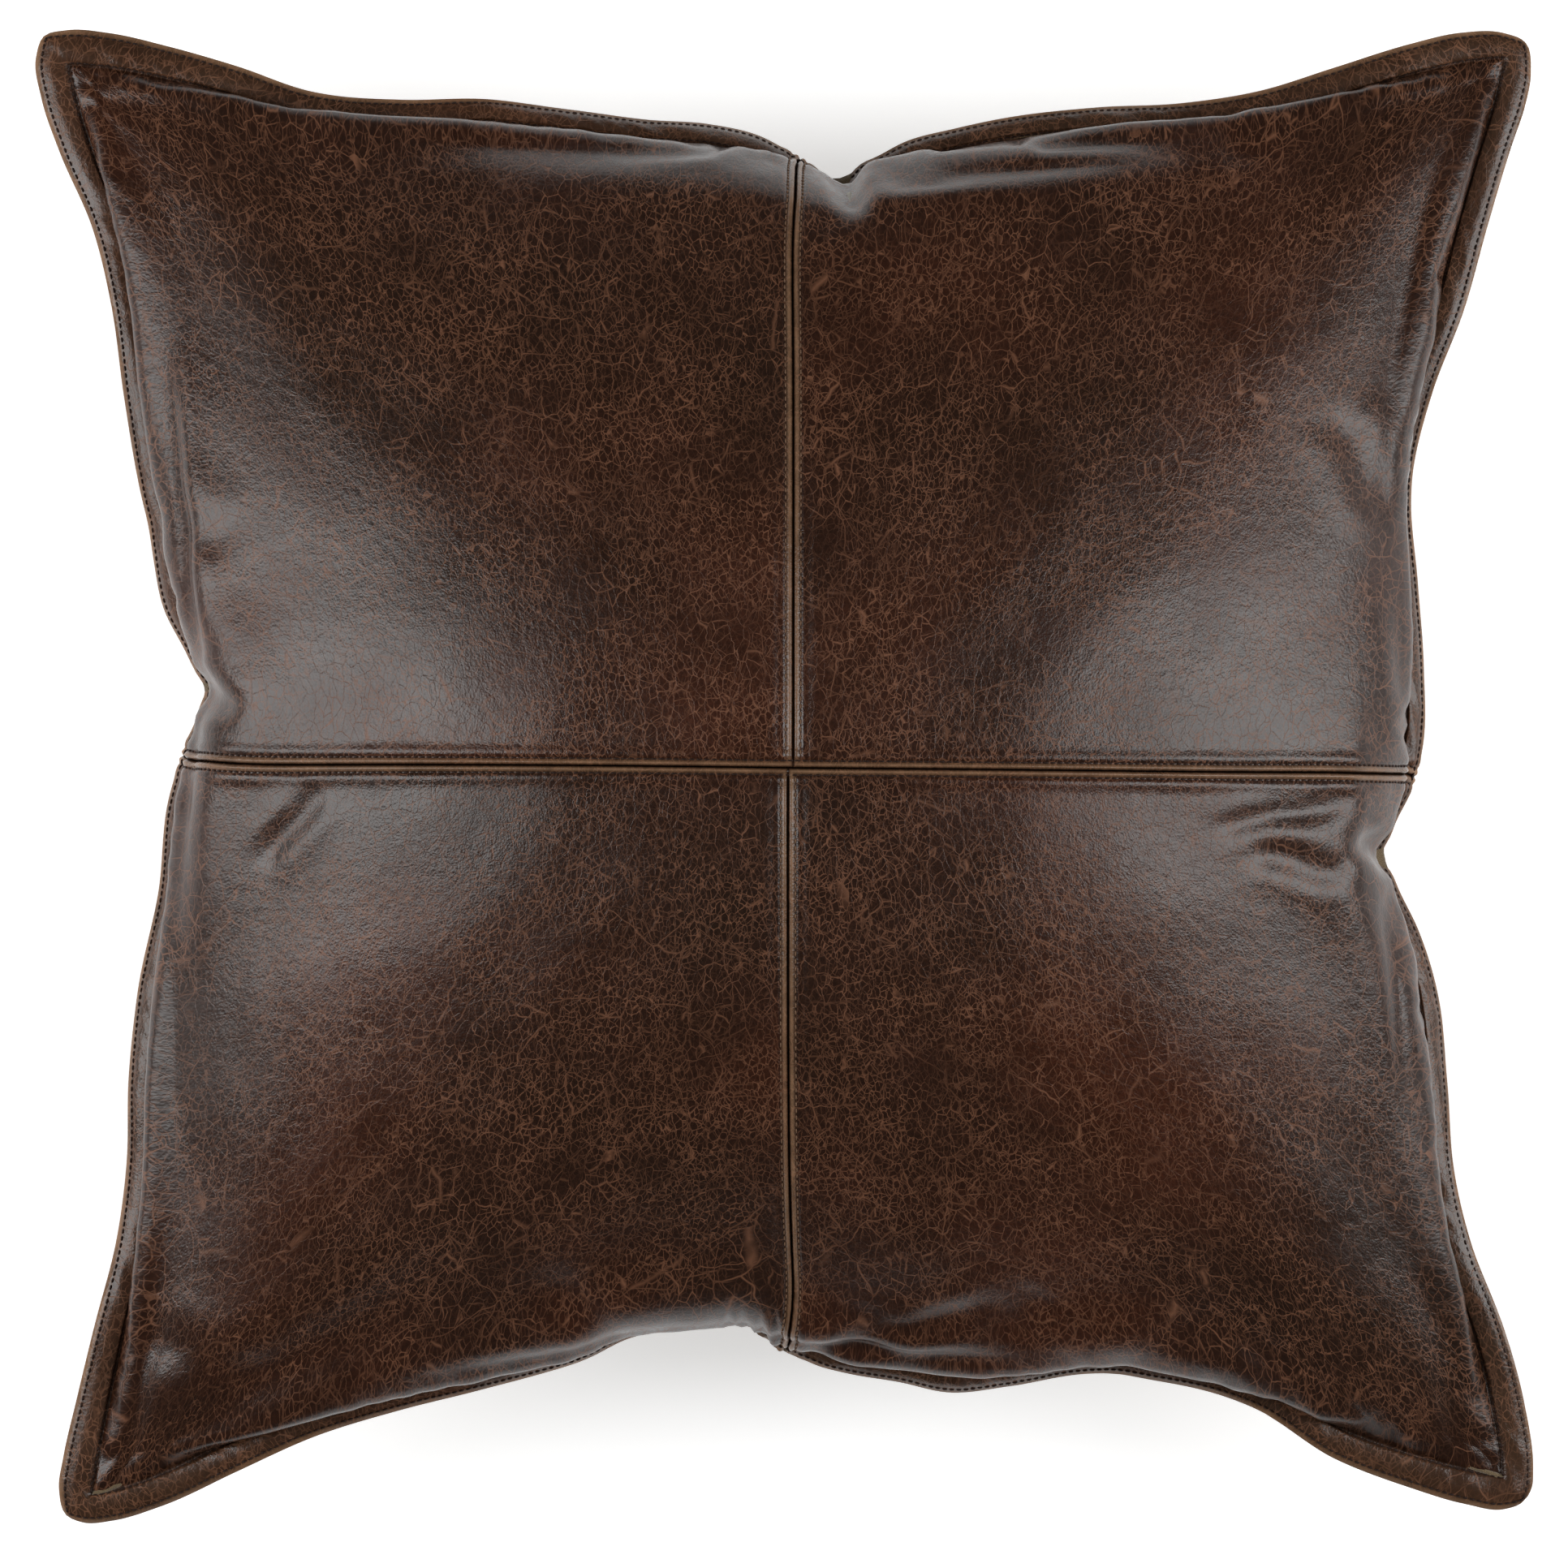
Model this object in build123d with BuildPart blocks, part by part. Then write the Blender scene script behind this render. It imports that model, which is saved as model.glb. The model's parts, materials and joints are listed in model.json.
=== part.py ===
from build123d import *
import math
import os

# Throw pillow: a pieced leather front, a woven back, a flat flange all round, a zip under the
# flange along the lower side, and a feather insert. It lies on its back, leather face up (+Z).
# The origin is on the floor under its middle, +Y is its upper side. Millimetres throughout.

# Overall shape of the stuffed pillow
corner_span = 544.0      # over the flange tips, the same both ways
side_draw = 48.0         # how far the middle of each side is drawn in by the filling
crown_height = 112.0     # leather face above the flange plane
back_depth = 92.0        # flange plane above the floor
crown_cap = 0.985        # share of the crown where the rounding ends in its flat middle
back_cap = 0.90          # the same for the back, which its own weight flattens
fullness = 2.3           # power of the cross-section's curve, 2 is an ellipse

# Cover
flange_width = 12.0
tip_radius = 6.0
leather = 1.2
backing = 1.0
upper_seam_x = 2.5       # seams of the four front panels, off the middle as sewn
lower_seam_x = 0.5
cross_seam_y = 2.5

# Thread
thread = 0.7
thread_lift = 0.35       # thread standing above the face it is sewn into
topstitch_offset = 3.1   # each row from its seam
foot_stitch_margin = 0.8 # flange's inner row from the crown's foot
edge_stitch_inset = 2.2

# Insert
ticking = 0.5
fill_gap = 0.3
slider_room = 0.65       # slider's inner plate to the insert

# Zip, a closed nylon coil chain 6.4 wide, in a short upright wall under the flange's overhang
facing_drop = 7.0        # the facing strip falls this much from the flange to the wall
zip_setback = 24.0       # wall behind the crown's foot, at the middle of the side
zip_end_setback = 12.0   # and towards the ends of the wall
zip_height = 16.0        # slot that shows the chain and its tapes
zip_hem = 4.0            # back panel's hem along the slot, sewn to the lower tape
hem_swell = 0.3          # the hem's face stands this much off the chain's true arc
zip_margin = 8.0         # tape's end to the corner where the upright wall ends
zip_tape_end = 6.0       # tape beyond each end of the chain
coil_width = 2.7
coil_gap = 1.0           # middle line, where the slider's neck runs
coil_proud = 1.0         # coil in front of the cover's outer face
coil_thickness = 1.9
tape_depth = 1.05        # face of the tape behind the cover's outer face
tape = 0.6
tape_tuck = 3.0          # lower tape behind the back panel's edge
stop_length = 3.0
stop_wrap = 0.3

# Slider and pull tab
slider_length = 12.0
slider_gap = 0.4         # slider to each stop
plate = 1.1
chain_clearance = 0.2    # slider to the coils and the tapes, all round
lip = 0.8
neck = 0.6
neck_length = 2.5
arch_width = 2.2
arch_reach = 3.6         # middle of the slider to the inside of each arch post
arch_post = 1.2
arch_rise = 2.4
tab_length = 24.0
tab_width = 6.4
tab_thickness = 1.0
tab_lift = 0.5           # tab above the slider's outer plate when folded flat
window_width = 3.6
window_length = 6.6
pivot_bar = 1.2

# Worked out from the sizes above
flange_z = back_depth
half_span = corner_span / 2
tip_angle = math.pi / 4 - 2 * math.atan(side_draw / half_span)
sharp_half = half_span + tip_radius * (math.cos(math.pi / 4) / math.sin(tip_angle) - 1)
side_middle = half_span - side_draw
outer_radius = (sharp_half**2 + (sharp_half - side_middle) ** 2) / (2 * (sharp_half - side_middle))
arc_centre = side_middle + outer_radius
seam_radius = outer_radius + flange_width
seam_middle = arc_centre - seam_radius
seam_corner = (arc_centre - math.sqrt(2 * seam_radius**2 - arc_centre**2)) / 2
flange_stitch_inset = flange_width - foot_stitch_margin
zip_top = flange_z - facing_drop
zip_bottom = zip_top - zip_height
zip_centre = zip_top - zip_height / 2
wall_drop = facing_drop + zip_height + zip_hem
zip_middle = seam_middle - zip_setback
zip_reach = 0.8 * seam_corner
zip_sag = arc_centre - math.sqrt(seam_radius**2 - zip_reach**2) - zip_end_setback - zip_middle
zip_radius = (zip_reach**2 + zip_sag**2) / (2 * zip_sag)
zip_axis_y = -zip_middle - zip_radius
insert_gap = tape_depth + tape + chain_clearance + plate + slider_room
tip_spread = 2.8         # a shallow tip needs this many times the inset to stay as thick


def ring(z, middle, corner, low_middle=None, low_corner=None):
    # a four-sided level line of the pillow: arcs from corner to corner through each side's middle
    low_middle = middle if low_middle is None else low_middle
    low_corner = corner if low_corner is None else low_corner
    rise = (corner - low_corner) / 2
    with BuildSketch(Plane.XY.offset(z)) as level:
        with BuildLine():
            ThreePointArc((-corner, corner), (0, middle), (corner, corner))
            ThreePointArc((corner, corner), (middle, rise), (corner, -low_corner))
            ThreePointArc((corner, -low_corner), (0, -low_middle), (-corner, -low_corner))
            ThreePointArc((-corner, -low_corner), (-middle, rise), (-corner, corner))
        make_face()
    return level.sketch


def level_at(share, inset):
    # middle and corner of the level line at a share of the full height
    middle = (seam_middle - inset) * (1 - share**fullness) ** (1 / fullness)
    reach = seam_corner * math.sqrt(2) - seam_middle - (tip_spread - 1) * inset
    diagonal = middle + reach * (1 - share) ** 2
    return middle, diagonal / math.sqrt(2)


def shares(cap, steps, first=0.0):
    # steps close together towards the top, as on a dome
    low, high = math.asin(first), math.asin(cap)
    return [math.sin(low + (high - low) * k / steps) for k in range(steps + 1)]


def crown(inset):
    # the solid above the flange plane, with its face moved in by inset
    levels = []
    for share in shares(crown_cap, 6):
        height = (crown_height - inset) * share / crown_cap
        levels.append(ring(flange_z + height, *level_at(share, inset)))
    with BuildPart() as solid:
        loft(sections=levels)
    return solid.part


def wall_ring(drop, inset):
    # a level line of the back whose lower side is the zip's arc
    middle, corner = level_at(drop / (back_depth - inset), inset)
    radius = zip_radius + inset
    low_corner = -zip_axis_y - math.sqrt(radius**2 - corner**2)
    return ring(flange_z - drop, middle, corner, zip_middle - inset, low_corner)


def belly(inset):
    # the solid below the flange plane: the facing falls inwards to the zip's upright wall, and
    # the back rounds down from there to its flat rest
    depth = back_depth - inset
    foot = ring(flange_z, *level_at(0, inset))
    top = wall_ring(facing_drop - inset, inset)
    waist = wall_ring(wall_drop, inset)
    lower = [waist]
    waist_share = wall_drop / depth
    for share in shares(back_cap, 5, 0.48):
        drop = wall_drop + (depth - wall_drop) * (share - waist_share) / (back_cap - waist_share)
        lower.append(ring(flange_z - drop, *level_at(share, inset)))
    with BuildPart() as solid:
        loft(sections=[foot, top], ruled=True)
        loft(sections=[top, waist], ruled=True)
        loft(sections=lower)
    return solid.part


def flange_outline(inset):
    # the flange's outline moved in by inset, with its rounded tips
    radius = outer_radius + inset
    corner = (arc_centre - math.sqrt(2 * radius**2 - arc_centre**2)) / 2
    outline = ring(0, arc_centre - radius, corner)
    with BuildSketch() as rounded:
        add(outline)
        if inset < tip_radius:
            fillet(rounded.vertices(), tip_radius - inset)
    return rounded.sketch


def flange_ring(outside, inside, z, thickness):
    # a flat ring between two insets of the flange's outline
    with BuildPart() as solid:
        with BuildSketch(Plane.XY.offset(z)):
            add(outside)
            add(inside, mode=Mode.SUBTRACT)
        extrude(amount=thickness)
    return solid.part


def export(piece, name):
    piece.label = name
    export_step(piece, f"parts/{name}.step")


os.makedirs("parts", exist_ok=True)
outer_crown = crown(0)
outer_belly = belly(0)
flange_edge = flange_outline(0)

# Front: four leather panels, each with its share of the flange
with BuildPart() as front_cover:
    add(outer_crown)
    add(crown(leather), mode=Mode.SUBTRACT)
    add(flange_ring(flange_edge, ring(0, *level_at(0, leather)), flange_z, leather))

upper_seam = Plane.YZ.offset(upper_seam_x)
lower_seam = Plane.YZ.offset(lower_seam_x)
cross_seam = Plane.XZ.offset(-cross_seam_y)

with BuildPart() as front_panel_top_left:
    add(front_cover.part)
    split(bisect_by=cross_seam, keep=Keep.BOTTOM)
    split(bisect_by=upper_seam, keep=Keep.BOTTOM)
export(front_panel_top_left.part, "front_panel_top_left")

with BuildPart() as front_panel_top_right:
    add(front_cover.part)
    split(bisect_by=cross_seam, keep=Keep.BOTTOM)
    split(bisect_by=upper_seam, keep=Keep.TOP)
export(front_panel_top_right.part, "front_panel_top_right")

with BuildPart() as front_panel_bottom_left:
    add(front_cover.part)
    split(bisect_by=cross_seam, keep=Keep.TOP)
    split(bisect_by=lower_seam, keep=Keep.BOTTOM)
export(front_panel_bottom_left.part, "front_panel_bottom_left")

with BuildPart() as front_panel_bottom_right:
    add(front_cover.part)
    split(bisect_by=cross_seam, keep=Keep.TOP)
    split(bisect_by=lower_seam, keep=Keep.TOP)
export(front_panel_bottom_right.part, "front_panel_bottom_right")


# Zip strips are turned about the upright axis through the centre of the wall's arc
zip_axis = Axis((0, zip_axis_y, 0), (0, 0, 1))
zip_plane = Plane((0, zip_axis_y, 0), x_dir=(0, 1, 0), z_dir=(1, 0, 0))


def arc_degrees(length):
    return math.degrees(length / zip_radius)


def zip_strip(depth, thickness, low, high, length, middle=0.0):
    # a strip following the chain: depth is its face behind the cover's outer face
    plane = zip_plane.rotated((0, 0, -arc_degrees(middle - length / 2)))
    with BuildPart() as solid:
        with BuildSketch(plane):
            with Locations((zip_radius + depth + thickness / 2, (low + high) / 2)):
                Rectangle(thickness, high - low)
        revolve(axis=zip_axis, revolution_arc=-arc_degrees(length))
    return solid.part


# Back: one woven panel, and a facing strip that carries its flange along the zip
_, wall_corner = level_at(wall_drop / back_depth, 0)
tape_length = 2 * zip_radius * math.asin((wall_corner - zip_margin) / zip_radius)
zip_length = tape_length - 2 * zip_tape_end
with BuildPart() as zip_slot:
    add(zip_strip(-zip_hem, 2 * zip_hem, zip_bottom, zip_top, tape_length))

with BuildPart() as facing_zone:
    with BuildSketch(Plane.XY.offset(zip_top)):
        with BuildLine():
            Polyline((0, 0), (corner_span, -corner_span), (-corner_span, -corner_span), (0, 0))
        make_face()
    extrude(amount=facing_drop)

with BuildPart() as back_cover:
    add(outer_belly)
    add(belly(backing), mode=Mode.SUBTRACT)
    add(flange_ring(flange_edge, ring(0, *level_at(0, backing)), flange_z - backing, backing))
    add(zip_slot.part, mode=Mode.SUBTRACT)

with BuildPart() as back_panel:
    add(back_cover.part)
    add(facing_zone.part, mode=Mode.SUBTRACT)
export(back_panel.part, "back_panel")

with BuildPart() as back_flange_facing:
    add(back_cover.part)
    add(facing_zone.part, mode=Mode.INTERSECT)
export(back_flange_facing.part, "back_flange_facing")

# Zip chain: two tapes, two coils, and the stops that end the slider's travel
coil_low = coil_gap / 2
coil_high = coil_low + coil_width
coil_length = zip_length - 2 * stop_length
stop_middle = (zip_length - stop_length) / 2
stop_high = coil_high + stop_wrap
stop_thickness = coil_thickness + stop_wrap

with BuildPart() as zipper_tape_upper:
    add(zip_strip(tape_depth, tape, zip_centre + coil_low, zip_top, tape_length))
export(zipper_tape_upper.part, "zipper_tape_upper")

with BuildPart() as zipper_tape_lower:
    add(zip_strip(tape_depth, tape, zip_bottom - tape_tuck, zip_centre - coil_low, tape_length))
export(zipper_tape_lower.part, "zipper_tape_lower")

with BuildPart() as zipper_coil_upper:
    add(zip_strip(-coil_proud, coil_thickness, zip_centre + coil_low, zip_centre + coil_high, coil_length))
export(zipper_coil_upper.part, "zipper_coil_upper")

with BuildPart() as zipper_coil_lower:
    add(zip_strip(-coil_proud, coil_thickness, zip_centre - coil_high, zip_centre - coil_low, coil_length))
export(zipper_coil_lower.part, "zipper_coil_lower")

with BuildPart() as zipper_top_stops:
    for low, high in ((coil_low, stop_high), (-stop_high, -coil_low)):
        add(zip_strip(-coil_proud - stop_wrap, stop_thickness, zip_centre + low, zip_centre + high,
                      stop_length, stop_middle))
export(zipper_top_stops.part, "zipper_top_stops")

with BuildPart() as zipper_bottom_stop:
    add(zip_strip(-coil_proud - stop_wrap, stop_thickness, zip_centre - stop_high,
                  zip_centre + stop_high, stop_length, -stop_middle))
export(zipper_bottom_stop.part, "zipper_bottom_stop")

with BuildPart() as zipper_topstitch:
    row = zip_bottom - zip_hem / 2
    add(zip_strip(-hem_swell - thread_lift, thread_lift, row - thread / 2, row + thread / 2, tape_length))
export(zipper_topstitch.part, "zipper_topstitch")

# Slider, closed at the +X end. In its own plane x runs along the chain to the closed end, y is up,
# z stands out of the pillow, and zero is the cover's outer face
slider_middle = zip_length / 2 - stop_length - slider_gap - slider_length / 2
slider_turn = slider_middle / zip_radius
slider_plane = Plane(
    (zip_radius * math.sin(slider_turn), zip_radius * math.cos(slider_turn) + zip_axis_y, zip_centre),
    x_dir=(math.cos(slider_turn), -math.sin(slider_turn), 0),
    z_dir=(-math.sin(slider_turn), -math.cos(slider_turn), 0),
)
lip_inside = coil_high + chain_clearance
slider_width = 2 * (lip_inside + lip)
outer_plate = coil_proud + chain_clearance
inner_plate = -tape_depth - tape - chain_clearance - plate
arch_top = outer_plate + plate + arch_rise
pivot_height = outer_plate + plate + tab_lift + tab_thickness / 2
pivot_plane = Plane(
    slider_plane.offset(pivot_height).origin, x_dir=slider_plane.x_dir, z_dir=slider_plane.y_dir
)

with BuildPart() as zipper_slider:
    with BuildSketch(slider_plane.offset(outer_plate)):
        RectangleRounded(slider_length, slider_width, slider_width / 4)
    extrude(amount=plate)
    with BuildSketch(slider_plane.offset(inner_plate)):
        RectangleRounded(slider_length, slider_width, slider_width / 4)
    extrude(amount=plate)
    with BuildSketch(slider_plane.offset(outer_plate)):
        with Locations((0, lip_inside + lip / 2), (0, -lip_inside - lip / 2)):
            Rectangle(slider_length - slider_width / 2, lip)
    extrude(amount=-outer_plate - tape_depth + 2 * chain_clearance)
    with BuildSketch(slider_plane.offset(inner_plate + plate)):
        with Locations(((slider_length - neck_length) / 2, 0)):
            Rectangle(neck_length, neck)
    extrude(amount=outer_plate - inner_plate - plate)
    with BuildSketch(slider_plane.offset(outer_plate + plate)):
        with Locations((arch_reach + arch_post / 2, 0), (-arch_reach - arch_post / 2, 0)):
            Rectangle(arch_post, arch_width)
    extrude(amount=arch_rise)
    with BuildSketch(slider_plane.offset(arch_top)):
        Rectangle(2 * (arch_reach + arch_post), arch_width)
    extrude(amount=arch_post)
export(zipper_slider.part, "zipper_slider")

# Pull tab, folded flat over the closed chain, on its bar under the slider's arch
with BuildPart() as zipper_pull_tab:
    with BuildSketch(slider_plane.offset(pivot_height - tab_thickness / 2)):
        with Locations(((pivot_bar - tab_length) / 2, 0)):
            RectangleRounded(tab_length, tab_width, tab_width / 3)
        with Locations((-(pivot_bar + window_length) / 2, 0)):
            Rectangle(window_length, window_width, mode=Mode.SUBTRACT)
    extrude(amount=tab_thickness)
    with BuildSketch(pivot_plane):
        Circle(pivot_bar / 2)
    extrude(amount=window_width / 2, both=True)
export(zipper_pull_tab.part, "zipper_pull_tab")

# Insert: two ticking panels round the feather filling
with BuildPart() as insert_ticking_front:
    add(crown(insert_gap))
    add(crown(insert_gap + ticking), mode=Mode.SUBTRACT)
export(insert_ticking_front.part, "insert_ticking_front")

with BuildPart() as insert_ticking_back:
    add(belly(insert_gap))
    add(belly(insert_gap + ticking), mode=Mode.SUBTRACT)
export(insert_ticking_back.part, "insert_ticking_back")

fill_inset = insert_gap + ticking + fill_gap
with BuildPart() as feather_fill:
    add(crown(fill_inset))
    add(belly(fill_inset))
export(feather_fill.part, "feather_fill")

# Topstitching: a row of thread each side of every seam of the front
with BuildPart() as thread_skin:
    add(crown(-thread_lift))
    add(outer_crown, mode=Mode.SUBTRACT)
    with BuildSketch(Plane.XY.offset(flange_z)):
        Rectangle(corner_span, corner_span)
    extrude(amount=leather, mode=Mode.SUBTRACT)

row_gap = thread + topstitch_offset
above_cross = cross_seam_y + row_gap
below_cross = cross_seam_y - row_gap
rows = (-topstitch_offset, topstitch_offset)

with BuildPart() as topstitch_across:
    with BuildSketch(Plane.XY.offset(flange_z)):
        with Locations(*[(0, cross_seam_y + row) for row in rows]):
            Rectangle(corner_span, thread)
    extrude(amount=2 * crown_height)
    add(thread_skin.part, mode=Mode.INTERSECT)
export(topstitch_across.part, "topstitch_across")

with BuildPart() as topstitch_upper:
    with BuildSketch(Plane.XY.offset(flange_z)):
        with Locations(*[(upper_seam_x + row, above_cross + half_span / 2) for row in rows]):
            Rectangle(thread, half_span)
    extrude(amount=2 * crown_height)
    add(thread_skin.part, mode=Mode.INTERSECT)
export(topstitch_upper.part, "topstitch_upper")

with BuildPart() as topstitch_lower:
    with BuildSketch(Plane.XY.offset(flange_z)):
        with Locations(*[(lower_seam_x + row, below_cross - half_span / 2) for row in rows]):
            Rectangle(thread, half_span)
    extrude(amount=2 * crown_height)
    add(thread_skin.part, mode=Mode.INTERSECT)
export(topstitch_lower.part, "topstitch_lower")

# Flange stitching: one row at the crown's foot, one along the edge
with BuildPart() as flange_stitch:
    add(flange_ring(flange_outline(flange_stitch_inset - thread / 2),
                    flange_outline(flange_stitch_inset + thread / 2), flange_z + leather, thread_lift))
export(flange_stitch.part, "flange_stitch")

with BuildPart() as edge_stitch:
    add(flange_ring(flange_outline(edge_stitch_inset - thread / 2),
                    flange_outline(edge_stitch_inset + thread / 2), flange_z + leather, thread_lift))
export(edge_stitch.part, "edge_stitch")
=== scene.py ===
import json
import bpy
import bmesh
import numpy as np
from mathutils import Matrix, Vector


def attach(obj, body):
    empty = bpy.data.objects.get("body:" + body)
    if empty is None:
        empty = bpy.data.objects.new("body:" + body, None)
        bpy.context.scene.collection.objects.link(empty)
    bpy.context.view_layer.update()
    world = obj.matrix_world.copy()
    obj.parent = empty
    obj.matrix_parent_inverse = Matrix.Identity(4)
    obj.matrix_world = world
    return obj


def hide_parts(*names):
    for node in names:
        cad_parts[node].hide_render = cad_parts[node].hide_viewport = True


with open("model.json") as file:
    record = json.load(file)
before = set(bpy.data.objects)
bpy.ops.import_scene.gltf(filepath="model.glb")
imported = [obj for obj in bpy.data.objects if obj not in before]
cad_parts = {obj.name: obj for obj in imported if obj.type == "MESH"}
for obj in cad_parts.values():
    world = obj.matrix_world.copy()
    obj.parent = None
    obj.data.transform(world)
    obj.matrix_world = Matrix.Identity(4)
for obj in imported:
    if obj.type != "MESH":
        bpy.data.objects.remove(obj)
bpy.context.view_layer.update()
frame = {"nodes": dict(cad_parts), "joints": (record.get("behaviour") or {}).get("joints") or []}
scene = bpy.context.scene
scene.view_settings.view_transform = "Standard"

# the cover's size and its outline
cover = {
    "half": 279.5,        # mm, half of the cut square, edge to edge
    "sewn": 267.5,        # mm, half of the square inside the flange's stitch line
    "flangeZ": 92.0,      # height of the stitch line when the pillow lies on its back
    "leather": 1.2,
    "fabric": 1.0,
    "crown": 113.0,       # leather's rise over the stitch line, before the cloth settles
    "depth": 97.0,        # back's fall under it, before it meets the floor
    "belly": 1.0,         # how far the sides swell over the flange
    "bellyAt": 17.0,
    "notchReach": 42.0,   # how far in a notch of the side is felt
    "acrossSeam": 0.0,    # seams, in the cut square's own coordinates
    "upperSeam": 1.0,
    "lowerSeam": -1.1,
    "middle": (2.0, 2.8), # where the seams cross
}

# outer edge of the flange, mm, as measured: each side from tip to tip, and the tips shared
outline = {
    "top": [(-270, 270), (-262, 272), (-246, 271), (-226, 266.5), (-200, 259), (-172, 249.5), (-140, 246.7),
            (-108, 247), (-78, 243.2), (-50, 239.6), (-28, 238.3), (-10, 234.4), (5, 226), (18, 218.6),
            (30, 224), (45, 232), (62, 236.3), (85, 241), (115, 244.2), (145, 245.6), (172, 249.7),
            (200, 258.3), (228, 267), (246, 271), (262, 271)],
    "right": [(270, 267.8), (272, 256), (270, 245), (265, 230), (256, 200), (247.6, 170), (236.2, 140),
              (229, 110), (231, 70), (233.4, 40), (232.7, 10), (228, -6), (219.3, -27), (223.5, -40),
              (231, -56), (239, -82), (242, -112), (243.8, -142), (250.2, -170), (261.7, -200),
              (269.5, -228), (272.8, -253), (272.4, -259)],
    "bottom": [(269.5, -264.3), (262, -267.2), (248, -265.3), (228, -259.4), (200, -248.6), (170, -229.8),
               (140, -221), (112, -218), (82, -222.5), (60, -224.8), (42, -221), (22, -217.6), (0, -210),
               (-15, -200.3), (-30, -201.5), (-52, -203.8), (-80, -215.4), (-112, -224), (-140, -231),
               (-170, -240.2), (-200, -253.6), (-228, -266.4), (-245, -271.4), (-256, -272)],
    "left": [(-262, -269.3), (-264.6, -260), (-263, -248), (-258.4, -228), (-251.6, -200), (-243.9, -170),
             (-240.2, -140), (-239.4, -110), (-236.4, -80), (-228.4, -42), (-225, -8), (-218.5, 12),
             (-212.2, 30), (-218, 44), (-227, 62), (-231, 84), (-236.8, 112), (-241.2, 140), (-245.6, 172),
             (-252.5, 200), (-264.6, 228), (-271, 247), (-273, 262)],
}
# where each cross seam meets the edge
seamEnds = {"top": 4.6, "right": -0.2, "bottom": 1.2, "left": 7.6}
innerTips = {"topLeft": (-260.8, 259.4), "topRight": (262.2, 261.8),
             "bottomRight": (261.4, -255.2), "bottomLeft": (-252.4, -261.5)}
stitchLine = {"inset": 11.8, "insetMiddle": 8.6, "droop": 6.0, "wave": 1.6}


# 0 to 1 with level ends
def smoothStep(x):
    x = np.clip(x, 0, 1)
    return x * x * (3 - 2 * x)


# 1 at the middle, falling as a bell
def bump(d, width):
    return np.exp(-(d / width) ** 2)


# closed line through the points: cubic between neighbours, its slope at each from the points beside it
def smoothLoop(points, count=40):
    p = np.array(points, float)
    before, after = np.roll(p, 1, 0), np.roll(p, -1, 0)
    stepOut = np.linalg.norm(after - p, axis=1)[:, None]
    stepIn = np.roll(stepOut, 1, 0)
    slope = ((after - p) / stepOut * stepIn + (p - before) / stepIn * stepOut) / (stepIn + stepOut)
    t = np.arange(count)[None, :, None] / count
    nextP, nextSlope = after[:, None], np.roll(slope, -1, 0)[:, None]
    run = stepOut[:, None]
    line = ((1 + 2 * t) * (1 - t) ** 2 * p[:, None] + t * (1 - t) ** 2 * run * slope[:, None]
            + t * t * (3 - 2 * t) * nextP - t * t * (1 - t) * run * nextSlope)
    return line.reshape(-1, 2)


# share of the side at each point of its line, by length, one half each side of the cross seam
def alongSide(line, ends, axis):
    length = np.r_[0, np.cumsum(np.linalg.norm(np.diff(line, axis=0), axis=1))]
    seam = np.argmin(np.abs(line[:, axis] - ends) + 1e3 * (np.abs(line[:, axis]) > 60))
    half = length[seam]
    return np.where(length < half, 0.5 * length / half, 0.5 + 0.5 * (length - half) / (length[-1] - half))


# each side as share, edge line and stitch line; the stitch line is the edge moved in square to itself
def sides():
    names = ["top", "right", "bottom", "left"]
    loop = smoothLoop([p for name in names for p in outline[name]])
    starts = np.cumsum([0] + [len(outline[name]) * 40 for name in names])
    loop = np.vstack([loop, loop[:1]])
    tips = [innerTips[n] for n in ("topLeft", "topRight", "bottomRight", "bottomLeft", "topLeft")]
    made = {}
    for i, name in enumerate(names):
        line = loop[starts[i]:starts[i + 1] + 1]
        share = alongSide(line, seamEnds[name], i % 2)
        even = np.linspace(0, 1, 801)
        line = np.stack([np.interp(even, share, line[:, k]) for k in (0, 1)], -1)
        slope = np.gradient(line, axis=0)
        slope /= np.linalg.norm(slope, axis=1)[:, None]
        inward = np.stack([slope[:, 1], -slope[:, 0]], -1)
        s = 2 * even - 1
        middle = np.exp(-(s / 0.55) ** 4)
        inset = stitchLine["inset"] + (stitchLine["insetMiddle"] - stitchLine["inset"]) * middle
        short = (cover["half"] - cover["sewn"]) / (2 * cover["half"])
        within = short + even * (1 - 2 * short)      # the stitch line is a flange shorter at each end
        moved = line + inward * inset[:, None]
        stitch = np.stack([np.interp(within, even, moved[:, k]) for k in (0, 1)], -1)
        toStart, toEnd = np.clip((-0.78 - s) / 0.22, 0, 1), np.clip((s - 0.78) / 0.22, 0, 1)
        stitch += toStart[:, None] * (tips[i] - stitch[0]) + toEnd[:, None] * (tips[i + 1] - stitch[-1])
        ripple = stitchLine["wave"] * (np.sin(9 * s + i) + 0.6 * np.sin(23 * s + 2 * i)) * (1 - s ** 6)
        edgeZ = cover["flangeZ"] - stitchLine["droop"] * middle + ripple
        stitchZ = np.full_like(s, cover["flangeZ"])
        edge3, stitch3 = np.c_[line, edgeZ], np.c_[stitch, stitchZ]
        made[name] = (even, edge3, stitch3)
    # right runs up and bottom runs to the right, as left and top do
    for name in ("right", "bottom"):
        even, edge3, stitch3 = made[name]
        made[name] = (even, edge3[::-1], stitch3[::-1])
    return made


side = sides()


# the point of a side's edge (1) or stitch line (2) at a share of its length, 0 left or low to 1 right or high
def linePoint(name, which, share):
    even = side[name][0]
    return np.stack([np.interp(share, even, side[name][which][:, k]) for k in range(3)], -1)


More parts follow.
